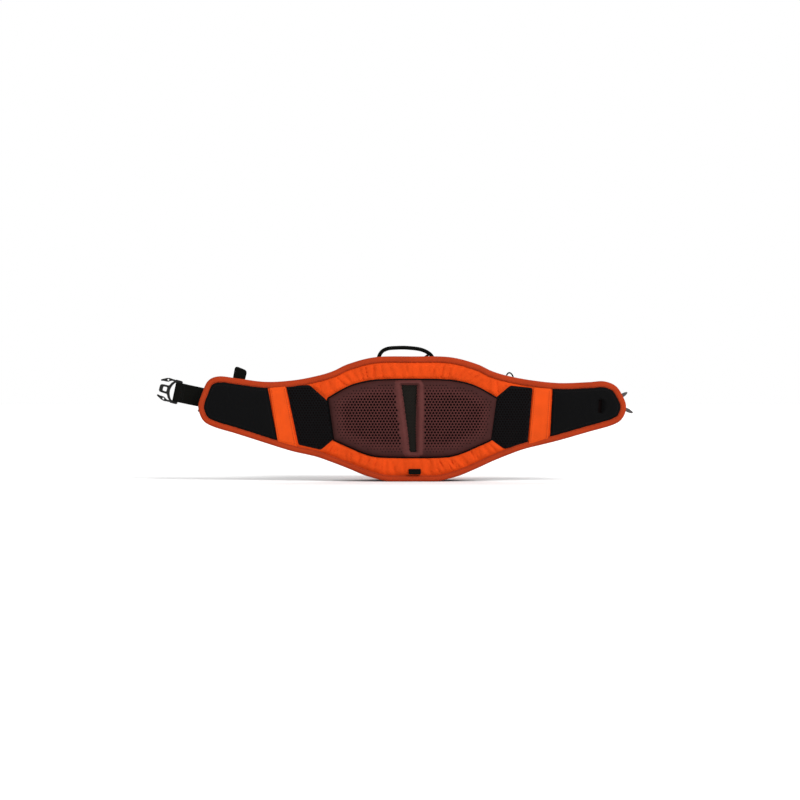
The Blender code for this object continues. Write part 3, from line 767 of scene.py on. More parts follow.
def belt_binding(side, word):
    """Tape folded over the belt's edge, a little uneven where it turns."""
    line = belt_half(side)
    inwards = normals_2d(line) * side
    runs = run_lengths(line)
    profile = np.array([(9.9, -48.1), (10.1, -48.9), (9.6, -49.6), (8.2, -49.9), (6.0, -50.3),
                        (3.6, -50.2), (1.6, -49.3), (0.4, -47.6), (0.0, -45.0), (0.0, -40.5),
                        (0.4, -37.8), (1.6, -36.2), (3.6, -35.3), (6.0, -35.1), (8.6, -35.5),
                        (10.1, -36.2), (9.9, -36.9), (8.6, -37.6), (7.6, -42.0), (8.6, -47.2)])
    rows = []
    for p, n, s in zip(line, inwards, runs):
        lip = 0.5 * noise.noise(Vector((s / 9, side, 0)))
        sink = 0.7 * (1 - abs(noise.noise(Vector((s / 8, 4.0, side)))) * 2) ** 5
        ring = []
        for u, y in profile:
            share = u / 10
            top = 1 if y < -43 else -0.6
            ring.append((p[0] + n[0] * (u + lip * share), y + max(sink, 0) * share * top * 0.8,
                         p[1] + n[1] * (u + lip * share)))
        rows.append(ring)
    rows = np.array(rows)
    rows[0, :, 0] = 0
    rows[-1, :, 0] = 0
    n, m = rows.shape[:2]
    faces = ring_faces(n, m)
    faces += [tuple(range(m)), tuple((n - 1) * m + k for k in range(m))]
    obj = new_object(word + "_belt_binding", rows.reshape(-1, 3), faces, LOOKS["rust"],
                     smooth_angle=60)
    keep_rest(obj.data, weave_places(runs, run_lengths(profile)))
    stitched = line + inwards * 8.4
    places = np.stack([stitched[:, 0], np.full(len(line), -49.9), stitched[:, 1]], 1)
    up = towards_wearer(len(line))
    threads = stitch_row(word + "_binding_stitches", places, up, LOOKS["rust_thread"],
                         3.4, 2.3, 0.28)
    return obj, threads


def bend_with_wing(obj):
    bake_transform(obj)


def belt():
    for side, word in SIDES:
        skin = belt_skin(side, word)
        binding, threads = belt_binding(side, word)
        for obj, look_slot in ((skin, "orange_fabric"), (binding, "binding_tape"),
                               (threads, "binding_tape")):
            bend_with_wing(obj)
        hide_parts(word + "_wing")
        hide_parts(word + "_wing_binding")
        if side == 1:
            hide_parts("back_panel")
            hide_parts("binding_top", "binding_base")


def pierced(outline, pitch, hole, margin, allowed=None, size=None):
    """Rims of small holes on a triangular lattice inside an outline. hole: the rim's points,
    turned over at every other place if size is given, which scales each hole by its place."""
    outline = np.array(outline, float)
    low, high = outline.min(0), outline.max(0)
    rows = int((high[1] - low[1]) / (pitch * ROW)) + 1
    centres = []
    for k in range(rows):
        z = low[1] + k * pitch * ROW
        x = np.arange(low[0] + (k % 2) * pitch / 2, high[0], pitch)
        centres.append(np.stack([x, np.full(len(x), z)], 1))
    turned = np.concatenate([np.where((np.arange(len(row)) + k // 2) % 2 == 0, 1, -1)
                             for k, row in enumerate(centres)])
    centres = np.vstack(centres)
    gap, _ = distance(centres, outline, True)
    keep = inside(centres, outline) & (gap > margin)
    if allowed is not None:
        keep &= allowed(centres)
    if size is None:
        return [c + np.array(hole) for c in centres[keep]]
    scale = size(centres)
    return [c + np.array(hole) * share * (1, flip)
            for c, flip, share in zip(centres[keep], turned[keep], scale[keep])]


def tone(obj, share):
    """Stores painted shade and painted highlight at each point, from its place in X and Z, as a
    share that the material's colour is multiplied by.
    """
    mesh = obj.data
    places = read(mesh.vertices, "co")[:, [0, 2]] / MM
    stored = mesh.attributes.new("tone", "FLOAT", "POINT")
    stored.data.foreach_set("value", share(places).astype(np.float32))


def ring_points(radius, sides, turn=0.0):
    return [(radius * math.cos(turn + 2 * math.pi * k / sides),
             radius * math.sin(turn + 2 * math.pi * k / sides)) for k in range(sides)]


def blunt_triangle(radius):
    """A small triangular hole with its corners cut, pointing down."""
    turns = [-math.pi / 2 + 2 * math.pi * k / 3 + shift
             for k in range(3) for shift in (-0.28, 0.28)]
    return [(radius * math.cos(turn), radius * math.sin(turn)) for turn in turns]


def lumbar_pad():
    outline = pad_outline()
    channel = np.array(rounded(CHANNEL, 3))

    def front(p):
        gap, _ = distance(p, outline, True)
        to_channel, _ = distance(p, channel, True)
        within = inside(p, channel)
        edge = np.clip(gap / 7.5, 0, 1)
        dome = np.sqrt(1 - (1 - edge) ** 2)
        crown = CUSHION_CROWN * soft_step(gap, 45)
        y = FACE_Y - 0.2 - CUSHION_HEIGHT * dome - crown
        ribs = np.where(within, 0, np.exp(-((to_channel - 4.5) / 3.2) ** 2)) * 0.9
        groove = np.where(within, 0, np.exp(-((to_channel - CHANNEL_RIB) / 1.1) ** 2)) * 0.8
        y = y - ribs + groove
        sink = np.where(within, soft_step(to_channel, 1.5), 0)
        y = y + sink * 6.2
        lip = np.where(within, 0, 1 - soft_step(to_channel, 2.6)) * 2.2
        y = y + lip + wobble_2d(p, 30, 2.0) * 0.22
        return y

    back = flat_depth(FACE_Y + 0.1)

    def clear(p):
        gap, _ = distance(p, channel, True)
        return (gap > CHANNEL_RIB + 1.8) & ~inside(p, channel)

    def hole_size(p):
        gap, _ = distance(p, outline, True)
        return 0.5 + 0.5 * soft_step(gap - 8, 20)

    loops = pierced(outline, FOAM_HOLE_PITCH, blunt_triangle(FOAM_HOLE_RADIUS), 8.0, clear,
                    hole_size)
    pad = fabric_solid("lumbar_cushion", outline, 2.5, front, back,
                       [LOOKS["foam"], LOOKS["hole"]], loops, FOAM_HOLE_DEPTH)
    # Painted shade darkens the foam towards the cushion's rim (to 0.62); painted highlight makes
    # it 1.35 times lighter along the raised ribs beside the channel.
    tone(pad, lambda p: np.where(distance(p, channel, True)[0] < CHANNEL_RIB, 1.35,
                                 0.62 + 0.38 * soft_step(distance(p, outline, True)[0] - 3, 18)))
    attach(pad, "pack", "perforated_foam", "lumbar_pad")

    rim = grown_line(outline, 0.5)
    places = upright(rim, FACE_Y - 0.9)
    frames = [((0, -1, 0), (n[0], 0, n[1])) for n in normals_2d(rim, True)]
    piping = swept("cushion_piping", places, np.array(frames, float), ring_points(1.3, 8),
                   LOOKS["black"], True, 80)
    attach(piping, "pack", "black_fabric")

    floor = np.array(rounded([(x, z) for x, z in grown_line(CHANNEL, -1.0)], 2.5))

    def channel_front(p):
        gap, _ = distance(p, floor, True)
        return np.full(len(p), FACE_Y - 2.2) - 1.0 * soft_step(gap, 3.0)

    cells = pierced(floor, 2.6, ring_points(0.75, 6, math.pi / 6), 1.6)
    mesh = fabric_solid("channel_mesh", floor, 1.6, channel_front, back,
                        [LOOKS["channel"], LOOKS["hole"]], cells, 0.6)
    attach(mesh, "pack", "black_mesh", "spine_channel")


def side_panels():
    for side, word in SIDES:
        outline = np.array(rounded(on_side(SIDE_PANEL[side], side), 3))
        outline = respaced(outline, 2.4, True)

        def front(p, outline=outline):
            gap, _ = distance(p, outline, True)
            return FACE_Y - 0.5 - PANEL_PUFF * soft_step(gap, 6) - 0.3 * wobble_2d(p, 18, 1.0)

        cells = pierced(outline, MESH_HOLE_PITCH,
                        ring_points(MESH_HOLE_RADIUS, 6, math.pi / 6), 3.0)
        panel = fabric_solid(word + "_mesh_panel", outline, 2.3, front, flat_depth(FACE_Y + 0.2),
                             [LOOKS["mesh"], LOOKS["hole"]], cells, MESH_HOLE_DEPTH)
        bend_with_wing(panel)
        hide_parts(word + "_side_mesh")


def band_arch(t):
    """How far a cross band stands off the cushion under it, at a share of its length."""
    return -1.4 * math.sin(math.pi * t) ** 0.5


def cross_bands():
    for side, word in SIDES:
        a, b, c, d = [np.array(p, float) * (side, 1) for p in CROSS_BAND[side]]
        count = 40
        rows = []
        width = np.linalg.norm(b - a)
        for i in range(count + 1):
            t = i / count
            left, right = a + (d - a) * t, b + (c - b) * t
            arch = band_arch(t)
            end = 1.6 * (1 - min(t, 1 - t) / 0.04) if min(t, 1 - t) < 0.04 else 0
            for share, y in ((0, 0.2), (0.01, -0.5), (0.05, -0.85), (0.12, -0.6), (0.3, -0.62),
                             (0.5, -0.66), (0.7, -0.62), (0.88, -0.6), (0.95, -0.85),
                             (0.99, -0.5), (1, 0.2)):
                p = left + (right - left) * share
                rows.append((p[0], FACE_Y - 1.6 + y + arch + end, p[1]))
            for share in (0.98, 0.02):
                p = left + (right - left) * share
                rows.append((p[0], FACE_Y + 0.2, p[1]))
        m = 13
        faces = ring_faces(count + 1, m)
        faces += [tuple(range(m)), tuple(count * m + k for k in range(m))]
        band = new_object(word + "_band", rows, faces, LOOKS["band"])
        girth = np.r_[0, 1, 2, 4, 9, 14, 19, 24, 27, 28, 29, 30, 58] * width / 29
        length = np.linalg.norm(d - a)
        keep_rest(band.data, weave_places(np.linspace(0, length, count + 1), girth))
        attach(band, word + "_wing", "orange_fabric", word + "_cross_band")
        for end_name, share in (("edge_a", 0.09), ("edge_b", 0.91)):
            line = np.array([(a + (b - a) * share) * (1 - t) + (d + (c - d) * share) * t
                             for t in np.linspace(0.03, 0.97, 30)])
            arch = [band_arch(t) for t in np.linspace(0.03, 0.97, 30)]
            places = upright(line, FACE_Y - 2.3 + np.array(arch))
            sewn(word + "_wing", "orange_fabric", word + "_band_" + end_name, places,
                 towards_wearer(30), LOOKS["rust_thread"], 3.2, 2.2, 0.25)


def wing_pads():
    for side, word in SIDES:
        outline = wing_pad_outline(side)
        slot = np.array(rounded([(302, 110), (307.5, 110), (308.5, 135), (303.5, 135.5)], 2, 3))

        def front(p, outline=outline, side=side):
            gap, run = distance(p, outline, True)
            edge = np.clip(gap / 8, 0, 1)
            dome = np.sqrt(1 - (1 - edge) ** 2)
            y = FACE_Y - 0.4 - WING_PUFF * dome - WING_CROWN * soft_step(gap, 26)
            folds = crease(run, 12, 20 + side) * np.exp(-gap / 8) * 0.9
            soft = wobble(p[:, 0] + 0.15 * p[:, 1], 11, 7 + side) * 0.55 * soft_step(gap, 14)
            seam = np.exp(-((gap - 5.2) / 0.9) ** 2) * 0.6
            return y + folds + soft + seam

        loops = [slot] if side == 1 else ()
        pad = fabric_solid(word + "_wing_cushion", outline, 2.8, front, flat_depth(FACE_Y + 0.2),
                           [LOOKS["black"], LOOKS["hole"]], loops, 2.4)
        attach(pad, word + "_wing", "black_fabric", word + "_wing_pad")
        ring = grown_line(outline, -5.2)
        places = upright(ring, front(ring) - 0.1)
        places = np.vstack([places, places[:1]])
        sewn(word + "_wing", "black_fabric", word + "_wing_pad_stitches", places,
             towards_wearer(len(places)), LOOKS["thread"], 3.4, 2.3, 0.25)


def base_tab():
    """A small plain patch on the lower gusset."""
    outline = respaced(rounded([(-6.5, 11.5), (13.5, 11.5), (13.5, 20.5), (-6.5, 20.5)], 1.5),
                       0.9, True)

    def front(p):
        gap, _ = distance(p, outline, True)
        hem = np.exp(-((gap - 1.3) / 0.6) ** 2) * 0.3
        return FACE_Y - 6.0 - 0.8 * soft_step(gap, 1.4) - hem

    tab = fabric_solid("gusset_patch", outline, 0.9, front,
                       flat_depth(FACE_Y + 0.1), LOOKS["web"])
    attach(tab, "pack", "grey_rubber", "base_tab")


# ---------------------------------------------------------------- bags


BAG_EDGE = [(-42, 0), (42, 0), (104, 27), (136, 52), (136, 160), (98, 182), (52, 190.5),
            (-52, 190.5), (-98, 182), (-136, 160), (-136, 52), (-104, 27)]
POCKET_EDGE = [(-60, 14), (60, 14), (98, 44), (98, 128), (76, 140), (-76, 140), (-98, 128),
               (-98, 44)]
WING_POCKET = [(163, 64), (163, 158.5), (330, 133), (330, 119)]
BAG_FRONT, BAG_BACK = -35.7, 36.0
POCKET_FRONT, POCKET_BACK = 36.3, 54.0
WING_FRONT, WING_BACK = -35.7, -14.0
MAIN_ZIP_Z, MAIN_ZIP_HALF = 170.0, 104.0
BACK_ZIP_Z, BACK_ZIP_HALF = 122.0, 72.0


SWELL_FRAMES = 20


def stuffed(name, edge, corner, front, back, rim, looks, hold, swell=7.0, spacing=5.0):
    """A sewn bag, blown up a little by a cloth simulation between its seams. hold gives how
    far each point may move out, as a share, from the places of the points."""
    line = np.array(rounded(edge, corner, 6))
    line = respaced(line, spacing, True)
    rows = []
    levels = [front, front + 2.5]
    count = max(int((back - rim - front - 2.5) / 6), 1)
    levels += [front + 2.5 + (back - rim - front - 2.5) * k / count for k in range(1, count + 1)]
    rings = [(y, 0.0) for y in levels]
    rings += [(back - rim + rim * math.sin(t), rim * (1 - math.cos(t)))
              for t in (math.pi / 8, math.pi / 4, math.pi * 3 / 8, math.pi / 2)]
    for y, inset in rings:
        ring = grown_line(line, -inset)
        rows.append(upright(ring, y))
    m = len(line)
    points = np.vstack(rows)
    faces = ring_faces(len(rows), m)
    for start in (0, (len(rows) - 1) * m):
        ring = points[start:start + m][:, [0, 2]]
        inner = lattice(ring, spacing, spacing * 0.6)
        made, _, tris, _, _, _ = delaunay_2d_cdt(
            [Vector(p) for p in np.vstack([ring, inner])],
            [(i, (i + 1) % m) for i in range(m)], [], 0, 1e-5)
        made = np.array([tuple(p) for p in made])
        tris = np.array(tris)
        tris = tris[inside(made[tris].mean(1), ring)]
        base = len(points)
        new = made[m:]
        points = np.vstack([points, np.stack([new[:, 0], np.full(len(new), points[start, 1]),
                                              new[:, 1]], 1)])
        index = np.r_[np.arange(start, start + m), np.arange(base, base + len(new))]
        faces += [tuple(int(index[i]) for i in t) for t in tris]
    obj = new_object(name, points, faces, looks)
    home = points.copy()
    moved = inflated(obj)
    shift = moved / MM - home
    size = np.linalg.norm(shift, axis=1)
    most = swell * hold(home)
    share = np.where(size > 1e-6, np.minimum(size, most) / np.maximum(size, 1e-6), 0)
    home = home + shift * share[:, None]
    obj.data.vertices.foreach_set("co", (home * MM).ravel())
    obj.data.update()
    finer = obj.modifiers.new("finer", "SUBSURF")
    finer.levels = finer.render_levels = 1
    bake(obj)
    return obj


def bake(obj):
    """Replaces the mesh by its own shape with modifiers, and drops them."""
    bpy.context.view_layer.update()
    shape = bpy.data.meshes.new_from_object(
        obj.evaluated_get(bpy.context.evaluated_depsgraph_get()))
    obj.modifiers.clear()
    obj.data = shape


def inflated(obj):
    """Where the points are after the cloth swells under pressure, without gravity."""
    scene = bpy.context.scene
    pins = obj.vertex_groups.new(name="sewn")
    low = min(v.co.y for v in obj.data.vertices)
    pins.add([v.index for v in obj.data.vertices if v.co.y < low + MM], 1.0, "REPLACE")
    cloth = obj.modifiers.new("cloth", "CLOTH")
    cloth.settings.quality = 5
    cloth.settings.use_pressure = True
    cloth.settings.uniform_pressure_force = 4.0
    cloth.settings.effector_weights.gravity = 0.0
    cloth.settings.vertex_group_mass = "sewn"
    cloth.settings.tension_stiffness = 12
    cloth.settings.compression_stiffness = 12
    cloth.settings.bending_stiffness = 0.6
    cloth.collision_settings.use_collision = False
    cloth.point_cache.frame_start = 1
    cloth.point_cache.frame_end = SWELL_FRAMES
    for frame_number in range(1, SWELL_FRAMES + 1):
        scene.frame_set(frame_number)
    shape = obj.evaluated_get(bpy.context.evaluated_depsgraph_get()).to_mesh()
    moved = read(shape.vertices, "co")
    obj.modifiers.clear()
    obj.vertex_groups.clear()
    scene.frame_set(1)
    return moved


def wrinkled(obj, change):
    """Moves each point along its normal by change(places), in millimetres, then keeps the
    fabric's places for the materials."""
    mesh = obj.data
    places = read(mesh.vertices, "co") / MM
    places = places + read(mesh.vertices, "normal") * change(places)[:, None]
    places[:, 2] = np.maximum(places[:, 2], 0.2)
    mesh.vertices.foreach_set("co", (places * MM).ravel())
    mesh.update()
    mesh.shade_smooth()
    keep_rest(mesh)


def on_surface(obj, points, away):
    """The nearest places on the mesh to the points, moved off it by away, and the normals."""
    tree = BVHTree.FromPolygons([v.co / MM for v in obj.data.vertices],
                                [tuple(p.vertices) for p in obj.data.polygons])
    found = [tree.find_nearest(Vector(p)) for p in points]
    places = np.array([tuple(f[0] + f[1] * away) for f in found])
    return places, np.array([tuple(f[1]) for f in found])


def piped_seam(name, bag, outline, y, look, radius=1.5):
    """Piping sewn round the bag's back edge, lying on its surface."""
    ring = respaced(np.array(outline, float), 3.5, True)
    points = upright(ring, y)
    places, normals = on_surface(bag, points, radius * 0.35)
    for _ in range(2):
        places = (np.roll(places, 1, 0) + places * 2 + np.roll(places, -1, 0)) / 4
    frames = []
    for i, n in enumerate(normals):
        t = unit(places[(i + 1) % len(places)] - places[i - 1])
        u = unit(n - t * (n @ t))
        frames.append((u, np.cross(t, u)))
    places[:, 2] = np.maximum(places[:, 2], radius + 0.1)
    return swept(name, places, frames, ring_points(radius, 8), look, True, 80)


def waves_3d(points, scale):
    """Smooth noise in space."""
    return np.array([noise.noise(Vector(q) / scale) for q in points])


def bags():
    def hold_main(p):
        on_back = p[:, 1] > BAG_BACK - 2
        near_zip = np.exp(-((p[:, 2] - MAIN_ZIP_Z) / 16) ** 2)
        over_pocket = inside(p[:, [0, 2]], grown_line(POCKET_EDGE, 4))
        share = np.where(on_back, np.where(over_pocket, 0.0, 1 - near_zip), 1.0)
        base = np.clip(p[:, 2] / 20, 0, 1)
        sewn = np.clip((p[:, 1] - BAG_FRONT) / 14, 0, 1)
        return share * base * sewn

    bag = stuffed("bag_shell", BAG_EDGE, 16, BAG_FRONT, BAG_BACK, 9, LOOKS["bag"], hold_main)

    def sag(p):
        flat = p[:, 1] > BAG_BACK - 4
        waves = waves_3d(p, 34) * 1.6
        around = np.arctan2(p[:, 0], p[:, 2] - 95) * 110
        tucks = crease(around, 13, 31) * np.exp(-(p[:, 1] - BAG_FRONT) / 9) * 2.2
        tucks += crease(around, 15, 37) * np.exp(-np.abs(BAG_BACK - 8 - p[:, 1]) / 7) * 1.2
        share = np.where(flat, 0.15, 1.0) * np.clip(p[:, 2] / 14, 0, 1)
        return (waves - tucks) * share

    wrinkled(bag, sag)
    attach(bag, "pack", "black_fabric", "main_bag")
    seam = piped_seam("bag_piping", bag, rounded(BAG_EDGE, 16), BAG_BACK - 5.5, LOOKS["rust"])
    attach(seam, "pack", "binding_tape")

    def hold_pocket(p):
        on_back = p[:, 1] > POCKET_BACK - 2
        near_zip = np.exp(-((p[:, 2] - BACK_ZIP_Z) / 15) ** 2)
        sewn = np.clip((p[:, 1] - POCKET_FRONT) / 9, 0, 1)
        return np.where(on_back, 1 - near_zip, 0.7) * sewn

    pocket = stuffed("pocket_shell", POCKET_EDGE, 13, POCKET_FRONT, POCKET_BACK, 6,
                     LOOKS["orange"], hold_pocket, 6.0, 4.5)

    def pocket_folds(p):
        around = np.arctan2(p[:, 0], p[:, 2] - 78) * 80
        tucks = crease(around, 12, 41) * np.exp(-np.abs(POCKET_BACK - 5 - p[:, 1]) / 7) * 1.3
        waves = waves_3d(p, 28) * 1.3
        calm = 1 - 0.85 * np.exp(-((p[:, 2] - BACK_ZIP_Z) / 15) ** 2)
        return (waves - tucks) * calm

    wrinkled(pocket, pocket_folds)
    attach(pocket, "pack", "orange_fabric", "back_pocket")
    seam = piped_seam("pocket_piping", pocket, rounded(POCKET_EDGE, 13), POCKET_BACK - 3.5,
                      LOOKS["black"], 1.2)
    attach(seam, "pack", "black_fabric")
    lower = [(x, POCKET_BACK + 9, 62 - 0.0009 * x * x) for x in np.linspace(-88, 88, 60)]
    for k, drop in enumerate((0, 3)):
        places, up = on_surface(pocket, [(x, y, z - drop) for x, y, z in lower], 0.1)
        sewn("pack", "orange_fabric", "pocket_stitches_" + "ab"[k], places, up,
             LOOKS["rust_thread"])

    for side, word in SIDES:
        edge = on_side(WING_POCKET, side)

        def hold_wing(p):
            sewn = np.clip((p[:, 1] - WING_FRONT) / 10, 0, 1)
            on_wall = p[:, 1] < WING_BACK - 3
            return sewn * np.where(on_wall, 0.12, 1.0)

        shell = stuffed(word + "_pocket_shell", edge, 8, WING_FRONT, WING_BACK, 4,
                        LOOKS["bag"], hold_wing, 1.6, 4.5)

        def wing_folds(p, side=side):
            waves = np.array([noise.noise(Vector(q) / 22 + Vector((side, 0, 0))) for q in p])
            face = np.clip((p[:, 1] - WING_BACK + 5) / 5, 0, 1)
            return waves * 0.7 * face

        wrinkled(shell, wing_folds)
        attach(shell, word + "_wing", "black_fabric", word + "_wing_pocket")


# ---------------------------------------------------------------- zips


TAPE_WIDTH, WING_TAPE_WIDTH, TAPE, COIL = 22.0, 12.0, 1.2, 1.6
WING_ZIP_LENGTH, WING_ZIP_START, WING_PULL_Y = 128.0, 8.0, -25.5
SLIDER_LENGTH, SLIDER_WIDTH, SLIDER_HEIGHT = 10.0, 8.0, 4.0


def zip_strip(name, width, length, origin, run, across, out, body, node):
    """Woven tape with two rows of coil teeth meshed along its middle, and stitched edges."""
    origin, run, across, out = (np.array(v, float) for v in (origin, run, across, out))
    half = width / 2
    count = int(length / 4)
    steps = np.linspace(-length / 2, length / 2, count + 1)
    profile = np.array([(-half, 0.1), (half, 0.1), (half, 0.75), (half - 0.8, 1.0), (3.6, 0.95),
                        (2.9, 1.25), (0.3, 1.3), (0, 1.1), (-0.3, 1.3), (-2.9, 1.25),
                        (-3.6, 0.95), (-half + 0.8, 1.0), (-half, 0.75)])
    places = origin + np.outer(steps, run)
    tape = swept(name, places, [(across, out)] * (count + 1), profile, LOOKS["tape"])
    verts, faces = [], []
    pitch = 1.9
    for k in range(int(length / pitch)):
        at = -length / 2 + pitch * (k + 0.5)
        for sign in (-1, 1):
            centre = origin + run * (at + sign * pitch / 4) + across * sign * 1.0 + out * 1.75
            sizes = (0.42, 1.55, 0.75)
            base = len(verts)
            for a, b in ((-1, -0.35), (-0.5, -0.95), (0.5, -0.95), (1, -0.35), (1, 0.35),
                         (0.5, 0.95), (-0.5, 0.95), (-1, 0.35)):
                for h in (-1, 0.35, 1):
                    shrink = 0.55 if h == 1 else 1.0
                    verts.append(centre + run * a * sizes[0] * (shrink + 0.2)
                                 + across * b * sizes[1] * shrink + out * h * sizes[2])
            for i in range(8):
                j = (i + 1) % 8
                for h in range(2):
                    faces.append((base + i * 3 + h, base + j * 3 + h, base + j * 3 + h + 1,
                                  base + i * 3 + h + 1))
            faces.append(tuple(base + i * 3 for i in range(7, -1, -1)))
            faces.append(tuple(base + i * 3 + 2 for i in range(8)))
    teeth = new_object(name + "_teeth", verts, faces, LOOKS["coil"])
    for piece in (tape, teeth):
        attach(piece, body, "black_fabric")
    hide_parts(node)
    for sign in (-1, 1):
        line = places + across * sign * (half - 1.8) + out * 1.05
        sewn(body, "black_fabric", name + "_stitches_" + ("a" if sign < 0 else "b"), line,
             np.tile(out, (len(line), 1)), LOOKS["thread"], 3.2, 2.2, 0.24)


def loft(name, rings, look, smooth_angle=50):
    """A closed solid through rings of the same number of points."""
    rings = [np.asarray(r, float) for r in rings]
    m = len(rings[0])
    verts = np.vstack(rings)
    faces = ring_faces(len(rings), m)
    faces += [tuple(range(m - 1, -1, -1)), tuple((len(rings) - 1) * m + k for k in range(m))]
    return new_object(name, verts, faces, look, smooth_angle=smooth_angle)


def slider(name, origin, run, across, out, body, node):
    """The zip's runner: a waisted body, a raised crown and the bridge that holds the pull.
    run points the way the pull hangs."""
    origin, run, across, out = (np.array(v, float) for v in (origin, run, across, out))

    def outline(width, length, waist):
        shape = [(-1, -0.55), (-0.8, -0.9), (-0.2, -1), (0.35, -waist), (0.8, -0.6), (1, -0.35),
                 (1, 0.35), (0.8, 0.6), (0.35, waist), (-0.2, 1), (-0.8, 0.9), (-1, 0.55)]
        return [(a * length / 2, b * width / 2) for a, b in shape]

    def ring(shape, height):
        return [origin + run * a + across * b + out * height for a, b in shape]

    w, n = SLIDER_WIDTH, SLIDER_LENGTH
    body_rings = [ring(outline(w - 0.8, n - 0.8, 0.78), 0.0), ring(outline(w, n, 0.78), 0.35),
                  ring(outline(w, n, 0.78), 1.2), ring(outline(w - 0.9, n - 0.9, 0.78), 1.6)]
    base = loft(name, body_rings, LOOKS["grey"])
    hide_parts(node)
    path = [(-3.6, 1.3), (-3.3, 2.6), (-2.2, 3.4), (0, 3.7), (2.2, 3.4), (3.3, 2.6), (3.6, 1.3)]
    places = [origin + run * a + out * h for a, h in smooth_line(path, 3)]
    bridge = swept(name + "_bridge", places, path_frames(places, across),
                   [(1.1 * c, 0.5 * s) for c, s in ring_points(1.0, 8)], LOOKS["grey"])
    for piece in (base, bridge):
        attach(piece, body, "grey_rubber")


def leaf_pull(name, hinge, root, tip, y, body, node):
    """A cord link and a moulded leaf with a raised rim and a midrib, in an upright plane."""
    a, b = np.array(root, float), np.array(tip, float)
    along = b - a
    length = np.linalg.norm(along)
    along /= length
    across = np.array([-along[1], along[0]])
    half = 3.1

    def width(t):
        return half * max(math.sin(math.pi * (0.1 + 0.86 * t)), 0) ** 0.75

    shares = np.linspace(0, 1, 15)
    left = [a + along * t * length + across * width(t) for t in shares]
    right = [a + along * t * length - across * width(t) for t in shares[::-1][1:]]
    outline = respaced(np.array(left + right), 0.8, True)
    rib = np.array([a + along * length * 0.12, a + along * length * 0.8])

    def face(p, sign):
        gap, _ = distance(p, outline, True)
        to_rib, _ = distance(p, rib)
        y_off = 0.55 + 0.6 * soft_step(gap, 0.7) - 0.35 * soft_step(gap - 0.7, 0.6)
        y_off += 0.45 * np.exp(-(to_rib / 0.5) ** 2)
        return y + sign * y_off

    blade = fabric_solid(name, outline, 0.8, lambda p: face(p, -1), lambda p: face(p, 1),
                         LOOKS["grey"])
    start = np.array(hinge, float)
    end = a + along * 1.5
    link_rings = []
    for sign in (-1, 1):
        pts = [start + across * sign * 0.2, (start * 0.6 + end * 0.4) + across * sign * 0.85,
               end + across * sign * 0.8]
        places = [(x, y, z) for x, z in smooth_line([tuple(q) for q in pts], 4)]
        link_rings.append(swept(name + ("_cord_a" if sign < 0 else "_cord_b"), places,
                                path_frames(places, (0, 1, 0)), ring_points(0.5, 7),
                                LOOKS["thread"]))
    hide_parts(node)
    for piece in [blade] + link_rings:
        attach(piece, body, "grey_rubber")


def face_zip(prefix, z, half, face_y, sliders):
    zip_strip(prefix + "_zip_tape", TAPE_WIDTH, 2 * half, (0, face_y + 0.3, z), (1, 0, 0),
              (0, 0, 1), (0, 1, 0), "pack", prefix + "_zip")
    low = face_y + 0.3 + TAPE + COIL + 0.3
    for tag, word, x in sliders:
        slider(prefix + "_runner" + word, (x, low, z), (0, 0, -1), (1, 0, 0), (0, 1, 0),
               tag[0], tag[0])
        axis_z = z - SLIDER_WIDTH / 2 - 1.5
        leaf_pull(prefix + "_leaf" + word, (x, axis_z + 2.2), (x, axis_z - 4),
                  (x, axis_z - 22), low + SLIDER_HEIGHT / 2 + 0.6, tag[1], tag[1])


def wing_wall(side, upper):
    inner, outer = (WING_POCKET[1], WING_POCKET[2]) if upper else (WING_POCKET[0], WING_POCKET[3])
    start = np.array((side * outer[0], outer[1]), float)
    along = unit(np.array((side * inner[0], inner[1])) - start)
    out = np.array((-along[1], along[0]))
    if (out[1] > 0) != upper:
        out = -out
    return start, along, out


def wing_zip(side, upper, word, hooks):
    start, along, out = wing_wall(side, upper)
    tag = word + ("_upper" if upper else "_lower")
    middle = start + along * (WING_ZIP_LENGTH / 2 + WING_ZIP_START) + out * 0.3
    zip_strip(tag + "_zip_tape", WING_TAPE_WIDTH, WING_ZIP_LENGTH,
              (middle[0], WING_PULL_Y, middle[1]), (along[0], 0, along[1]), (0, 1, 0),
              (out[0], 0, out[1]), word + "_wing", tag + "_zip")
    if hooks is None:
        return
    parked = 4.5
    low = start + along * parked + out * (0.6 + TAPE + COIL)
    slider(tag + "_runner", (low[0], WING_PULL_Y, low[1]), (-along[0], 0, -along[1]),
           (0, 1, 0), (out[0], 0, out[1]), tag + "_slider", tag + "_slider")
    tail = low - along * (parked - 0.5)
    hinge = tail - along * 0.8 + out * 1.6
    root, tip = hooks
    leaf_pull(tag + "_leaf", tuple(hinge), (side * root[0], root[1]), (side * tip[0], tip[1]),
              WING_PULL_Y, tag + "_pull", tag + "_pull")


def zips():
    face_zip("main", MAIN_ZIP_Z, MAIN_ZIP_HALF, BAG_BACK,
             ((("main_slider_left", "main_pull_left"), "_left", -8),
              (("main_slider_right", "main_pull_right"), "_right", 8)))
    face_zip("pocket", BACK_ZIP_Z, BACK_ZIP_HALF, POCKET_BACK,
             ((("pocket_slider", "pocket_pull"), "", -60),))
    wing_zip(1, True, "right", ((339.5, 137), (353.5, 145.5)))
    wing_zip(1, False, "right", ((346, 120), (362.5, 111.5)))
    wing_zip(-1, False, "left", ((340.3, 117), (353.3, 115)))
    wing_zip(-1, True, "left", None)


# ---------------------------------------------------------------- straps and buckles


WEB_WIDTH, WEB = 32.0, 1.5
STRAP_TILT, BUCKLE_TILT = math.radians(12), math.radians(15)
BAR_POINT = (-390.0, 146.0)
STRAP_Y, LOOP_RADIUS, BUCKLE_DEPTH = -11.2, 3.9, 3.6
RIGHT_FOLD, RIGHT_BAR_U = (326.0, 132.0), 84.0


def strap_places(path, origin, along):
    """Places in space of a strap's side view: along its run, and towards +Y."""
    return np.array([(origin[0] + along[0] * u, y, origin[1] + along[1] * u) for u, y in path])


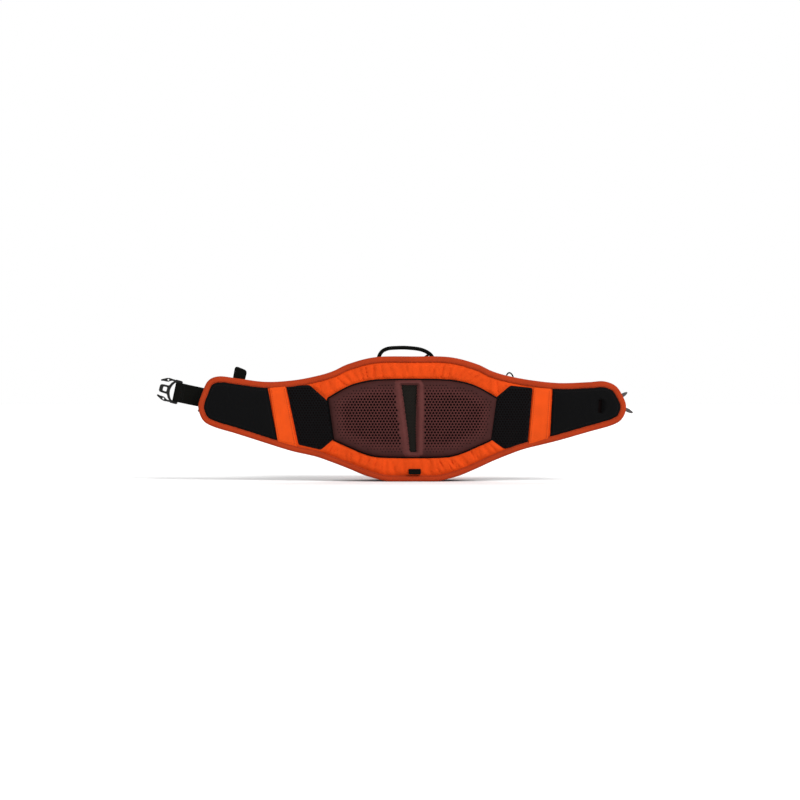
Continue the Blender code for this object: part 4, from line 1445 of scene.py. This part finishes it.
def webbing_run(name, path, origin, along, width, thick, look, body, slot_name):
    """Woven webbing with thickened edges, carried along its path."""
    line = respaced(np.array(path, float), 2.2)
    for _ in range(2):
        line[1:-1] = (line[:-2] + line[1:-1] * 2 + line[2:]) / 4
    places = strap_places(line, origin, along)
    across = (along[1], 0, -along[0])
    w, t = width / 2, thick / 2
    profile = [(-w, 0), (-w + 0.25, -t), (-w + 1.2, -t - 0.12), (-w + 2.2, -t + 0.06),
               (-w / 3, -t + 0.02), (w / 3, -t + 0.02), (w - 2.2, -t + 0.06),
               (w - 1.2, -t - 0.12), (w - 0.25, -t), (w, 0), (w - 0.25, t),
               (w - 1.2, t + 0.12), (w - 2.2, t - 0.06), (w / 3, t - 0.02), (-w / 3, t - 0.02),
               (-w + 2.2, t - 0.06), (-w + 1.2, t + 0.12), (-w + 0.25, t)]
    web = swept(name, places, path_frames(places, across), profile, look, False, 50)
    attach(web, body, slot_name)
    return web, across


def wrap(bar_u, bar_y):
    return [(bar_u + LOOP_RADIUS * math.cos(t), bar_y + LOOP_RADIUS * math.sin(t))
            for t in (math.radians(-90 + 15 * k) for k in range(13))]


def box_stitch(name, centre, run, across, out, half_run, half_across, body, slot_name, look):
    """A sewn box with a cross in it."""
    centre, run, across, out = (np.array(v, float) for v in (centre, run, across, out))
    corner = [(-1, -1), (1, -1), (1, 1), (-1, 1), (-1, -1), (1, 1), (1, -1), (-1, 1)]
    points = [centre + run * a * half_run + across * b * half_across for a, b in corner]
    places = respaced(np.array(points), 1.5)
    sewn(body, slot_name, name, places, np.tile(out, (len(places), 1)), look, 2.6, 1.9, 0.22)


def ring_sleeve(name, at_u, length, width, wall, y, look, body, slot_name, node):
    """A band closed round the webbing, with rounded rims."""
    along = (-math.cos(STRAP_TILT), math.sin(STRAP_TILT))
    across = np.array((along[1], 0, -along[0]))
    run = np.array((along[0], 0, along[1]))
    centre = np.array((BAR_POINT[0] + along[0] * at_u, y, BAR_POINT[1] + along[1] * at_u))
    w, t = width / 2, WEB / 2 + 0.35 + wall / 2
    loop = respaced(rounded([(-w, -t), (w, -t), (w, t), (-w, t)], 1.6, 5), 1.6, True)
    normal = normals_2d(loop, True)
    section = [(-length / 2, -0.25), (-length / 2 + 0.5, -wall / 2), (0, -wall / 2 - 0.06),
               (length / 2 - 0.5, -wall / 2), (length / 2, -0.25), (length / 2, 0.25),
               (length / 2 - 0.5, wall / 2), (0, wall / 2 + 0.06),
               (-length / 2 + 0.5, wall / 2), (-length / 2, 0.25)]
    places = [centre + across * a + np.array((0, b, 0)) for a, b in loop]
    frames = [(run, across * n[0] + np.array((0, n[1], 0))) for n in normal]
    sleeve = swept(name, places, frames, section, look, True)
    attach(sleeve, body, slot_name, node)


def plane_matrix(origin, x_axis, y_axis):
    x_axis, y_axis = Vector(x_axis).normalized(), Vector(y_axis).normalized()
    turn = Matrix((x_axis, y_axis, x_axis.cross(y_axis))).transposed().to_4x4()
    return Matrix.Translation(Vector(origin) * MM) @ turn


def rimmed(name, loops, half, rim, matrix, look):
    """A moulding from flat outlines, the first outside and the rest holes, with round rims."""
    curve = bpy.data.curves.new(name, "CURVE")
    curve.dimensions = "2D"
    curve.fill_mode = "BOTH"
    curve.extrude = half * MM
    for loop in loops:
        spline = curve.splines.new("POLY")
        spline.points.add(len(loop) - 1)
        for point, (a, b) in zip(spline.points, loop):
            point.co = (a * MM, b * MM, 0, 1)
        spline.use_cyclic_u = True
    source = placed(name + "_outline", curve)
    bpy.context.view_layer.update()
    mesh = bpy.data.meshes.new_from_object(
        source.evaluated_get(bpy.context.evaluated_depsgraph_get()))
    bpy.data.objects.remove(source)
    mesh.transform(matrix)
    cage = bmesh.new()
    cage.from_mesh(mesh)
    bmesh.ops.remove_doubles(cage, verts=cage.verts, dist=1e-6)
    bmesh.ops.recalc_face_normals(cage, faces=cage.faces)
    cage.to_mesh(mesh)
    cage.free()
    mesh.materials.clear()
    mesh.materials.append(look)
    obj = placed(name, mesh)
    soft = obj.modifiers.new("rim", "BEVEL")
    soft.width = rim * MM
    soft.segments = 3
    soft.limit_method = "ANGLE"
    soft.angle_limit = math.radians(60)
    bake(obj)
    obj.data.shade_smooth()
    obj.data.set_sharp_from_angle(angle=math.radians(35))
    keep_rest(obj.data)
    return obj


def carve(obj, cutters):
    """Cuts the solids out of a moulding and drops them."""
    for cutter in cutters:
        knife = obj.modifiers.new("carve", "BOOLEAN")
        knife.operation = "DIFFERENCE"
        knife.solver = "EXACT"
        knife.object = cutter
    bake(obj)
    for cutter in cutters:
        bpy.data.objects.remove(cutter)
    obj.data.shade_smooth()
    obj.data.set_sharp_from_angle(angle=math.radians(35))
    keep_rest(obj.data)


def mirrored_loop(half):
    return half + [(u, -v) for u, v in reversed(half[1:-1])]


def plastic_piece(obj, body, *nodes):
    attach(obj, body, "buckle_plastic", *nodes)


def left_strap():
    along = (-math.cos(STRAP_TILT), math.sin(STRAP_TILT))
    bar_y = STRAP_Y + LOOP_RADIUS
    path = [(-205, STRAP_Y), (-40, STRAP_Y), (-3, STRAP_Y)] + wrap(0, bar_y) \
        + [(-4, bar_y + LOOP_RADIUS), (-15, bar_y + LOOP_RADIUS - 0.6)]
    web, across = webbing_run("left_belt_webbing", path, BAR_POINT, along, WEB_WIDTH,
                                      1.6, LOOKS["web"], "left_strap", "webbing")
    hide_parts("left_webbing")
    out = np.array((0, 1.0, 0))
    run = np.array((along[0], 0, along[1]))
    start = strap_places([(-196, STRAP_Y + 0.95)], BAR_POINT, along)[0]
    box_stitch("left_web_box", start, run, across, out, 5, 12, "left_strap", "webbing",
               LOOKS["thread"])
    for k, y in enumerate((STRAP_Y - 0.95, bar_y + LOOP_RADIUS + 0.75)):
        spot = strap_places([(-9.5, y)], BAR_POINT, along)[0]
        box_stitch("left_end_stitches_" + "ab"[k], spot, run, across,
                   (0, -1.0 if k == 0 else 1.0, 0), 3.2, 12.5, "left_strap", "webbing",
                   LOOKS["thread"])
    ring_sleeve("left_keeper_loop", -72, 14, 36.6, 1.5, STRAP_Y, LOOKS["web"], "left_wing",
                "webbing", "left_keeper")
    ring_sleeve("left_ladder_lock", -136, 22, 37.4, 1.8, STRAP_Y, LOOKS["plastic"], "left_wing",
                "buckle_plastic", "left_adjuster")
    male_buckle(bar_y)


def male_buckle(y):
    along = (-math.cos(BUCKLE_TILT), math.sin(BUCKLE_TILT))
    matrix = plane_matrix((BAR_POINT[0], y, BAR_POINT[1]), (along[0], 0, along[1]),
                          (along[1], 0, -along[0]))
    half = [(-1.4, 0), (-1.4, 15.8), (-6, 15.8), (-6, 18.6), (-4.2, 19.8), (5.8, 19.8),
            (8.2, 17.6), (8.8, 15.6), (11.8, 12.6), (13.8, 8.6), (15, 7.2), (23, 7), (27, 6.4),
            (29, 4.2), (29, 0)]
    window = [(11.2, 0), (10.6, 4.8), (8.8, 9.6), (6.4, 13.4), (4.4, 15.2), (1.5, 15.2),
              (1.5, 0)]
    eye = rounded([(16.4, -3.8), (23.2, -3.4), (23.2, 3.4), (16.4, 3.8)], 1.6, 4)
    outer = rounded(mirrored_loop(half), 0.9, 3)
    slot = rounded(mirrored_loop(window), 1.2, 3)
    frame_piece = rimmed("male_buckle_frame", [outer, slot, eye], BUCKLE_DEPTH / 2, 0.45,
                         matrix, LOOKS["plastic"])
    plastic_piece(frame_piece, "male_buckle", "male_buckle")
    for k in range(3):
        bar = [(-3.4 + k * 2.6, 17.4), (-2.4 + k * 2.6, 17.4), (-2.4 + k * 2.6, 18.9),
               (-3.4 + k * 2.6, 18.9)]
        for sign, word in ((1, "upper"), (-1, "lower")):
            grip = rimmed("frame_grip_" + word + "_" + str(k), [[(u, sign * v) for u, v in bar]],
                          BUCKLE_DEPTH / 2 + 0.5, 0.3, matrix, LOOKS["plastic"])
            plastic_piece(grip, "male_buckle")
    for sign, word in ((1, "upper"), (-1, "lower")):
        prong = [(7.2, 16.2), (7.2, 19.2), (11, 19.2), (16, 19.7), (21, 18.6), (30, 13.8),
                 (29.4, 11.4), (24.5, 12.4), (20.6, 12.4), (17, 13), (14, 15.2), (11, 16.2)]
        loop = rounded([(u, sign * v) for u, v in prong], 0.9, 3)
        hole = [(18.2 + a, sign * 16.1 + b) for a, b in ring_points(1.5, 16)]
        piece = rimmed("prong_" + word + "_arm", [loop, hole], BUCKLE_DEPTH / 2 - 0.2, 0.4,
                       matrix, LOOKS["plastic"])
        plastic_piece(piece, "prong_" + word, "prong_" + word)


def right_strap():
    along = (-math.cos(STRAP_TILT), -math.sin(STRAP_TILT))
    axis_y = WING_BACK + 0.3 + WEB + 1.0
    patch_y = WING_BACK + 0.3 + WEB / 2
    run_y = axis_y + 1.1
    patch, _ = webbing_run("strap_patch", [(2, patch_y), (40, patch_y)], RIGHT_FOLD,
                                   along, WEB_WIDTH, 1.5, LOOKS["web"], "right_wing", "webbing")
    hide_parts("right_strap_anchor")
    bar_y = run_y + LOOP_RADIUS
    path = [(1, run_y), (60, run_y), (RIGHT_BAR_U - 3, run_y)] + wrap(RIGHT_BAR_U, bar_y) \
        + [(RIGHT_BAR_U - 4, bar_y + LOOP_RADIUS), (RIGHT_BAR_U - 22, bar_y + LOOP_RADIUS - 1)]
    web, across = webbing_run("right_belt_webbing", path, RIGHT_FOLD, along, WEB_WIDTH, 1.5,
                                 LOOKS["web"], "right_strap", "webbing")
    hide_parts("right_webbing")
    run = np.array((along[0], 0, along[1]))
    for k, (u, y, reach) in enumerate(((8, run_y + 0.9, 4.5),
                                       (RIGHT_BAR_U - 14, bar_y + LOOP_RADIUS + 0.45, 5.5))):
        spot = strap_places([(u, y)], RIGHT_FOLD, along)[0]
        box_stitch("right_web_box_" + "ab"[k], spot, run, across, (0, 1.0, 0), reach, 12.5,
                   "right_strap", "webbing", LOOKS["thread"])
    female_buckle(along, bar_y)


def female_buckle(along, y):
    x = RIGHT_FOLD[0] + along[0] * RIGHT_BAR_U
    z = RIGHT_FOLD[1] + along[1] * RIGHT_BAR_U
    matrix = plane_matrix((x, y, z), (along[0], 0, along[1]), (along[1], 0, -along[0]))
    half = [(-1.4, 0), (-1.4, 18.4), (0, 19.4), (20, 20.4), (38, 18.6), (41, 16), (41, 0)]
    slot = rounded([(1.3, -16.6), (8.2, -16.6), (8.2, 16.6), (1.3, 16.6)], 1.2, 3)
    shell = rimmed("female_buckle_shell", [rounded(mirrored_loop(half), 1.6, 4), slot], 5.2,
                   0.9, matrix, LOOKS["plastic"])
    cutters = []
    for sign in (1, -1):
        step = matrix @ Matrix.Translation(Vector((0, 0, sign * 4.5 * MM)))
        cutters.append(rimmed("relief_" + str(sign + 1), [rounded(
            [(-6, -25), (9.5, -25), (9.5, 25), (-6, 25)], 1.5, 3)], 2.5, 0.4, step,
            LOOKS["plastic"]))
    cutters.append(rimmed("socket_space", [[(12, -15.2), (44, -15.2), (44, 15.2), (12, 15.2)]],
                          2.9, 0.4, matrix, LOOKS["plastic"]))
    cutters.append(rimmed("side_windows", [rounded(
        [(15, -24), (26, -24), (26, 24), (15, 24)], 3, 4)], 2.85, 0.4, matrix,
        LOOKS["plastic"]))
    carve(shell, cutters)
    plastic_piece(shell, "female_buckle", "female_buckle")
    for k in range(4):
        at = 29.5 + k * 2.4
        bar = [(at, -8), (at + 1.0, -8), (at + 1.0, 8), (at, 8)]
        for sign in (-1, 1):
            place = matrix @ Matrix.Translation(Vector((0, 0, sign * 5.2 * MM)))
            rib = rimmed("shell_rib_" + str(k) + ("a" if sign < 0 else "b"),
                         [rounded(bar, 0.45, 3)], 0.45, 0.2, place, LOOKS["plastic"])
            plastic_piece(rib, "female_buckle")


# ---------------------------------------------------------------- handle, tab and loop


HANDLE_X, HANDLE_HALF, HANDLE_TOP = -11.5, 46.5, 221.5
HANDLE_BAND, HANDLE_Y, HANDLE_DEPTH = 6.0, -27.0, 9.0


def carry_handle():
    rise = HANDLE_TOP - HANDLE_BAND / 2
    half = HANDLE_HALF - HANDLE_BAND / 2
    path = [(-half - 0.5, 202.5), (-half + 2, 208.5), (-half + 7, 214), (-half + 16, rise - 1),
            (-half + 28, rise), (0, rise + 0.2), (half - 24, rise - 1.6), (half - 12, rise - 5),
            (half - 3, 208), (half + 1, 202.5)]
    line = respaced([(HANDLE_X + x, z) for x, z in smooth_line(path, 6)], 2.0)
    places = upright(line, HANDLE_Y)
    t, w = HANDLE_BAND / 2 + 0.15, HANDLE_DEPTH / 2 + 1.2
    profile = [(w * math.copysign(abs(math.cos(a)) ** 0.6, math.cos(a)),
                t * math.copysign(abs(math.sin(a)) ** 0.75, math.sin(a)))
               for a in (2 * math.pi * k / 20 for k in range(20))]
    frames = path_frames(places, (0, 1, 0))
    grip = swept("padded_handle", places, frames, profile, LOOKS["web"], False, 60)
    attach(grip, "carry_handle", "webbing", "carry_handle")
    side_on, up = (np.array(v) for v in zip(*frames))
    if up[len(up) // 2][2] < 0:
        up = -up
    for tag, shift in (("a", -w + 1.6), ("b", w - 1.6)):
        outer = places + side_on * shift + up * (t * 0.86)
        sewn("carry_handle", "webbing", "handle_stitches_" + tag, outer, up, LOOKS["thread"],
             3.2, 2.3, 0.25)
    fold = respaced([(HANDLE_X + half - 4, HANDLE_Y, 208.6),
                     (HANDLE_X + half - 8, HANDLE_Y, 205.6),
                     (HANDLE_X + half - 12, HANDLE_Y, 202.6)], 1.5)
    spare = swept("handle_folded_end", fold, path_frames(fold, (0, 1, 0)),
                  [(u * 0.9, v * 0.6) for u, v in profile], LOOKS["web"], False, 60)
    attach(spare, "carry_handle", "webbing")
    for word, x in (("left", HANDLE_X - half), ("right", HANDLE_X + half)):
        foot = respaced(rounded([(x - 5.4, 190.4), (x + 5.4, 190.4), (x + 4, 199),
                                 (x - 4, 199)], 1.5, 4), 1.0, True)

        def face(p, sign, foot=foot):
            gap, _ = distance(p, foot, True)
            return HANDLE_Y + sign * (4.2 + 0.9 * soft_step(gap, 1.4)
                                      - 0.35 * np.exp(-((gap - 2) / 0.5) ** 2))

        anchor = fabric_solid("handle_foot_" + word, foot, 1.1, lambda p: face(p, -1),
                              lambda p: face(p, 1), LOOKS["web"])
        attach(anchor, "pack", "webbing", "handle_anchor_" + word)
        tack = [(x - 3.2, HANDLE_Y - 5.3, 193.4), (x + 3.2, HANDLE_Y - 5.3, 193.4),
                (x + 3.2, HANDLE_Y - 5.3, 195.4), (x - 3.2, HANDLE_Y - 5.3, 195.4)]
        places_tack = respaced(np.array(tack, float), 1.0)
        sewn("pack", "webbing", "handle_tack_" + word, places_tack,
             towards_wearer(len(places_tack)), LOOKS["thread"], 2.2, 1.6, 0.25)


def top_tab():
    front = -35.7
    outline = respaced(rounded([(-297.5, 151), (-279, 148), (-270.5, 181), (-290.5, 189)], 6, 6),
                       1.0, True)

    def face(p, sign):
        gap, _ = distance(p, outline, True)
        return front + 1.2 + sign * (0.7 + 0.55 * soft_step(gap, 1.2)
                                     - 0.4 * soft_step(gap - 3.2, 1.0))

    tab = fabric_solid("sewn_tab", outline, 1.2, lambda p: face(p, -1), lambda p: face(p, 1),
                       LOOKS["web"])
    attach(tab, "top_tab", "black_fabric", "top_tab")
    ring = grown_line(outline, -2.0)
    places = upright(ring, face(ring, -1) - 0.05)
    sewn("top_tab", "black_fabric", "tab_stitches", np.vstack([places, places[:1]]),
         towards_wearer(len(places) + 1), LOOKS["thread"], 2.8, 2.0, 0.25)


def cord_loop():
    """A thin braided cord, sewn in at both ends."""
    path = [(154, 160), (153.6, 170), (155.6, 175.5), (159, 177.4), (162.6, 175.2), (165, 170),
            (165.4, 160)]
    line = smooth_line(path, 8)
    places = np.array([(x, -34.0, z) for x, z in line])
    loop = swept("braided_loop", places, path_frames(places, (0, 1, 0)), ring_points(1.15, 12),
                 LOOKS["web"], False, 80)
    attach(loop, "cord_loop", "black_fabric", "cord_loop")
    for word, at in (("a", places[0]), ("b", places[-1])):
        rings = [[at + np.array((r * math.cos(t), r * math.sin(t), h))
                  for t in (2 * math.pi * k / 12 for k in range(12))]
                 for r, h in ((1.1, -0.4), (1.5, -0.2), (1.6, 0.6), (1.5, 1.3), (1.1, 1.5))]
        collar = loft("loop_collar_" + word, rings, LOOKS["thread"])
        attach(collar, "cord_loop", "black_fabric")


studio()
belt()
lumbar_pad()
side_panels()
cross_bands()
wing_pads()
base_tab()
bags()
zips()
left_strap()
right_strap()
carry_handle()
top_tab()
cord_loop()
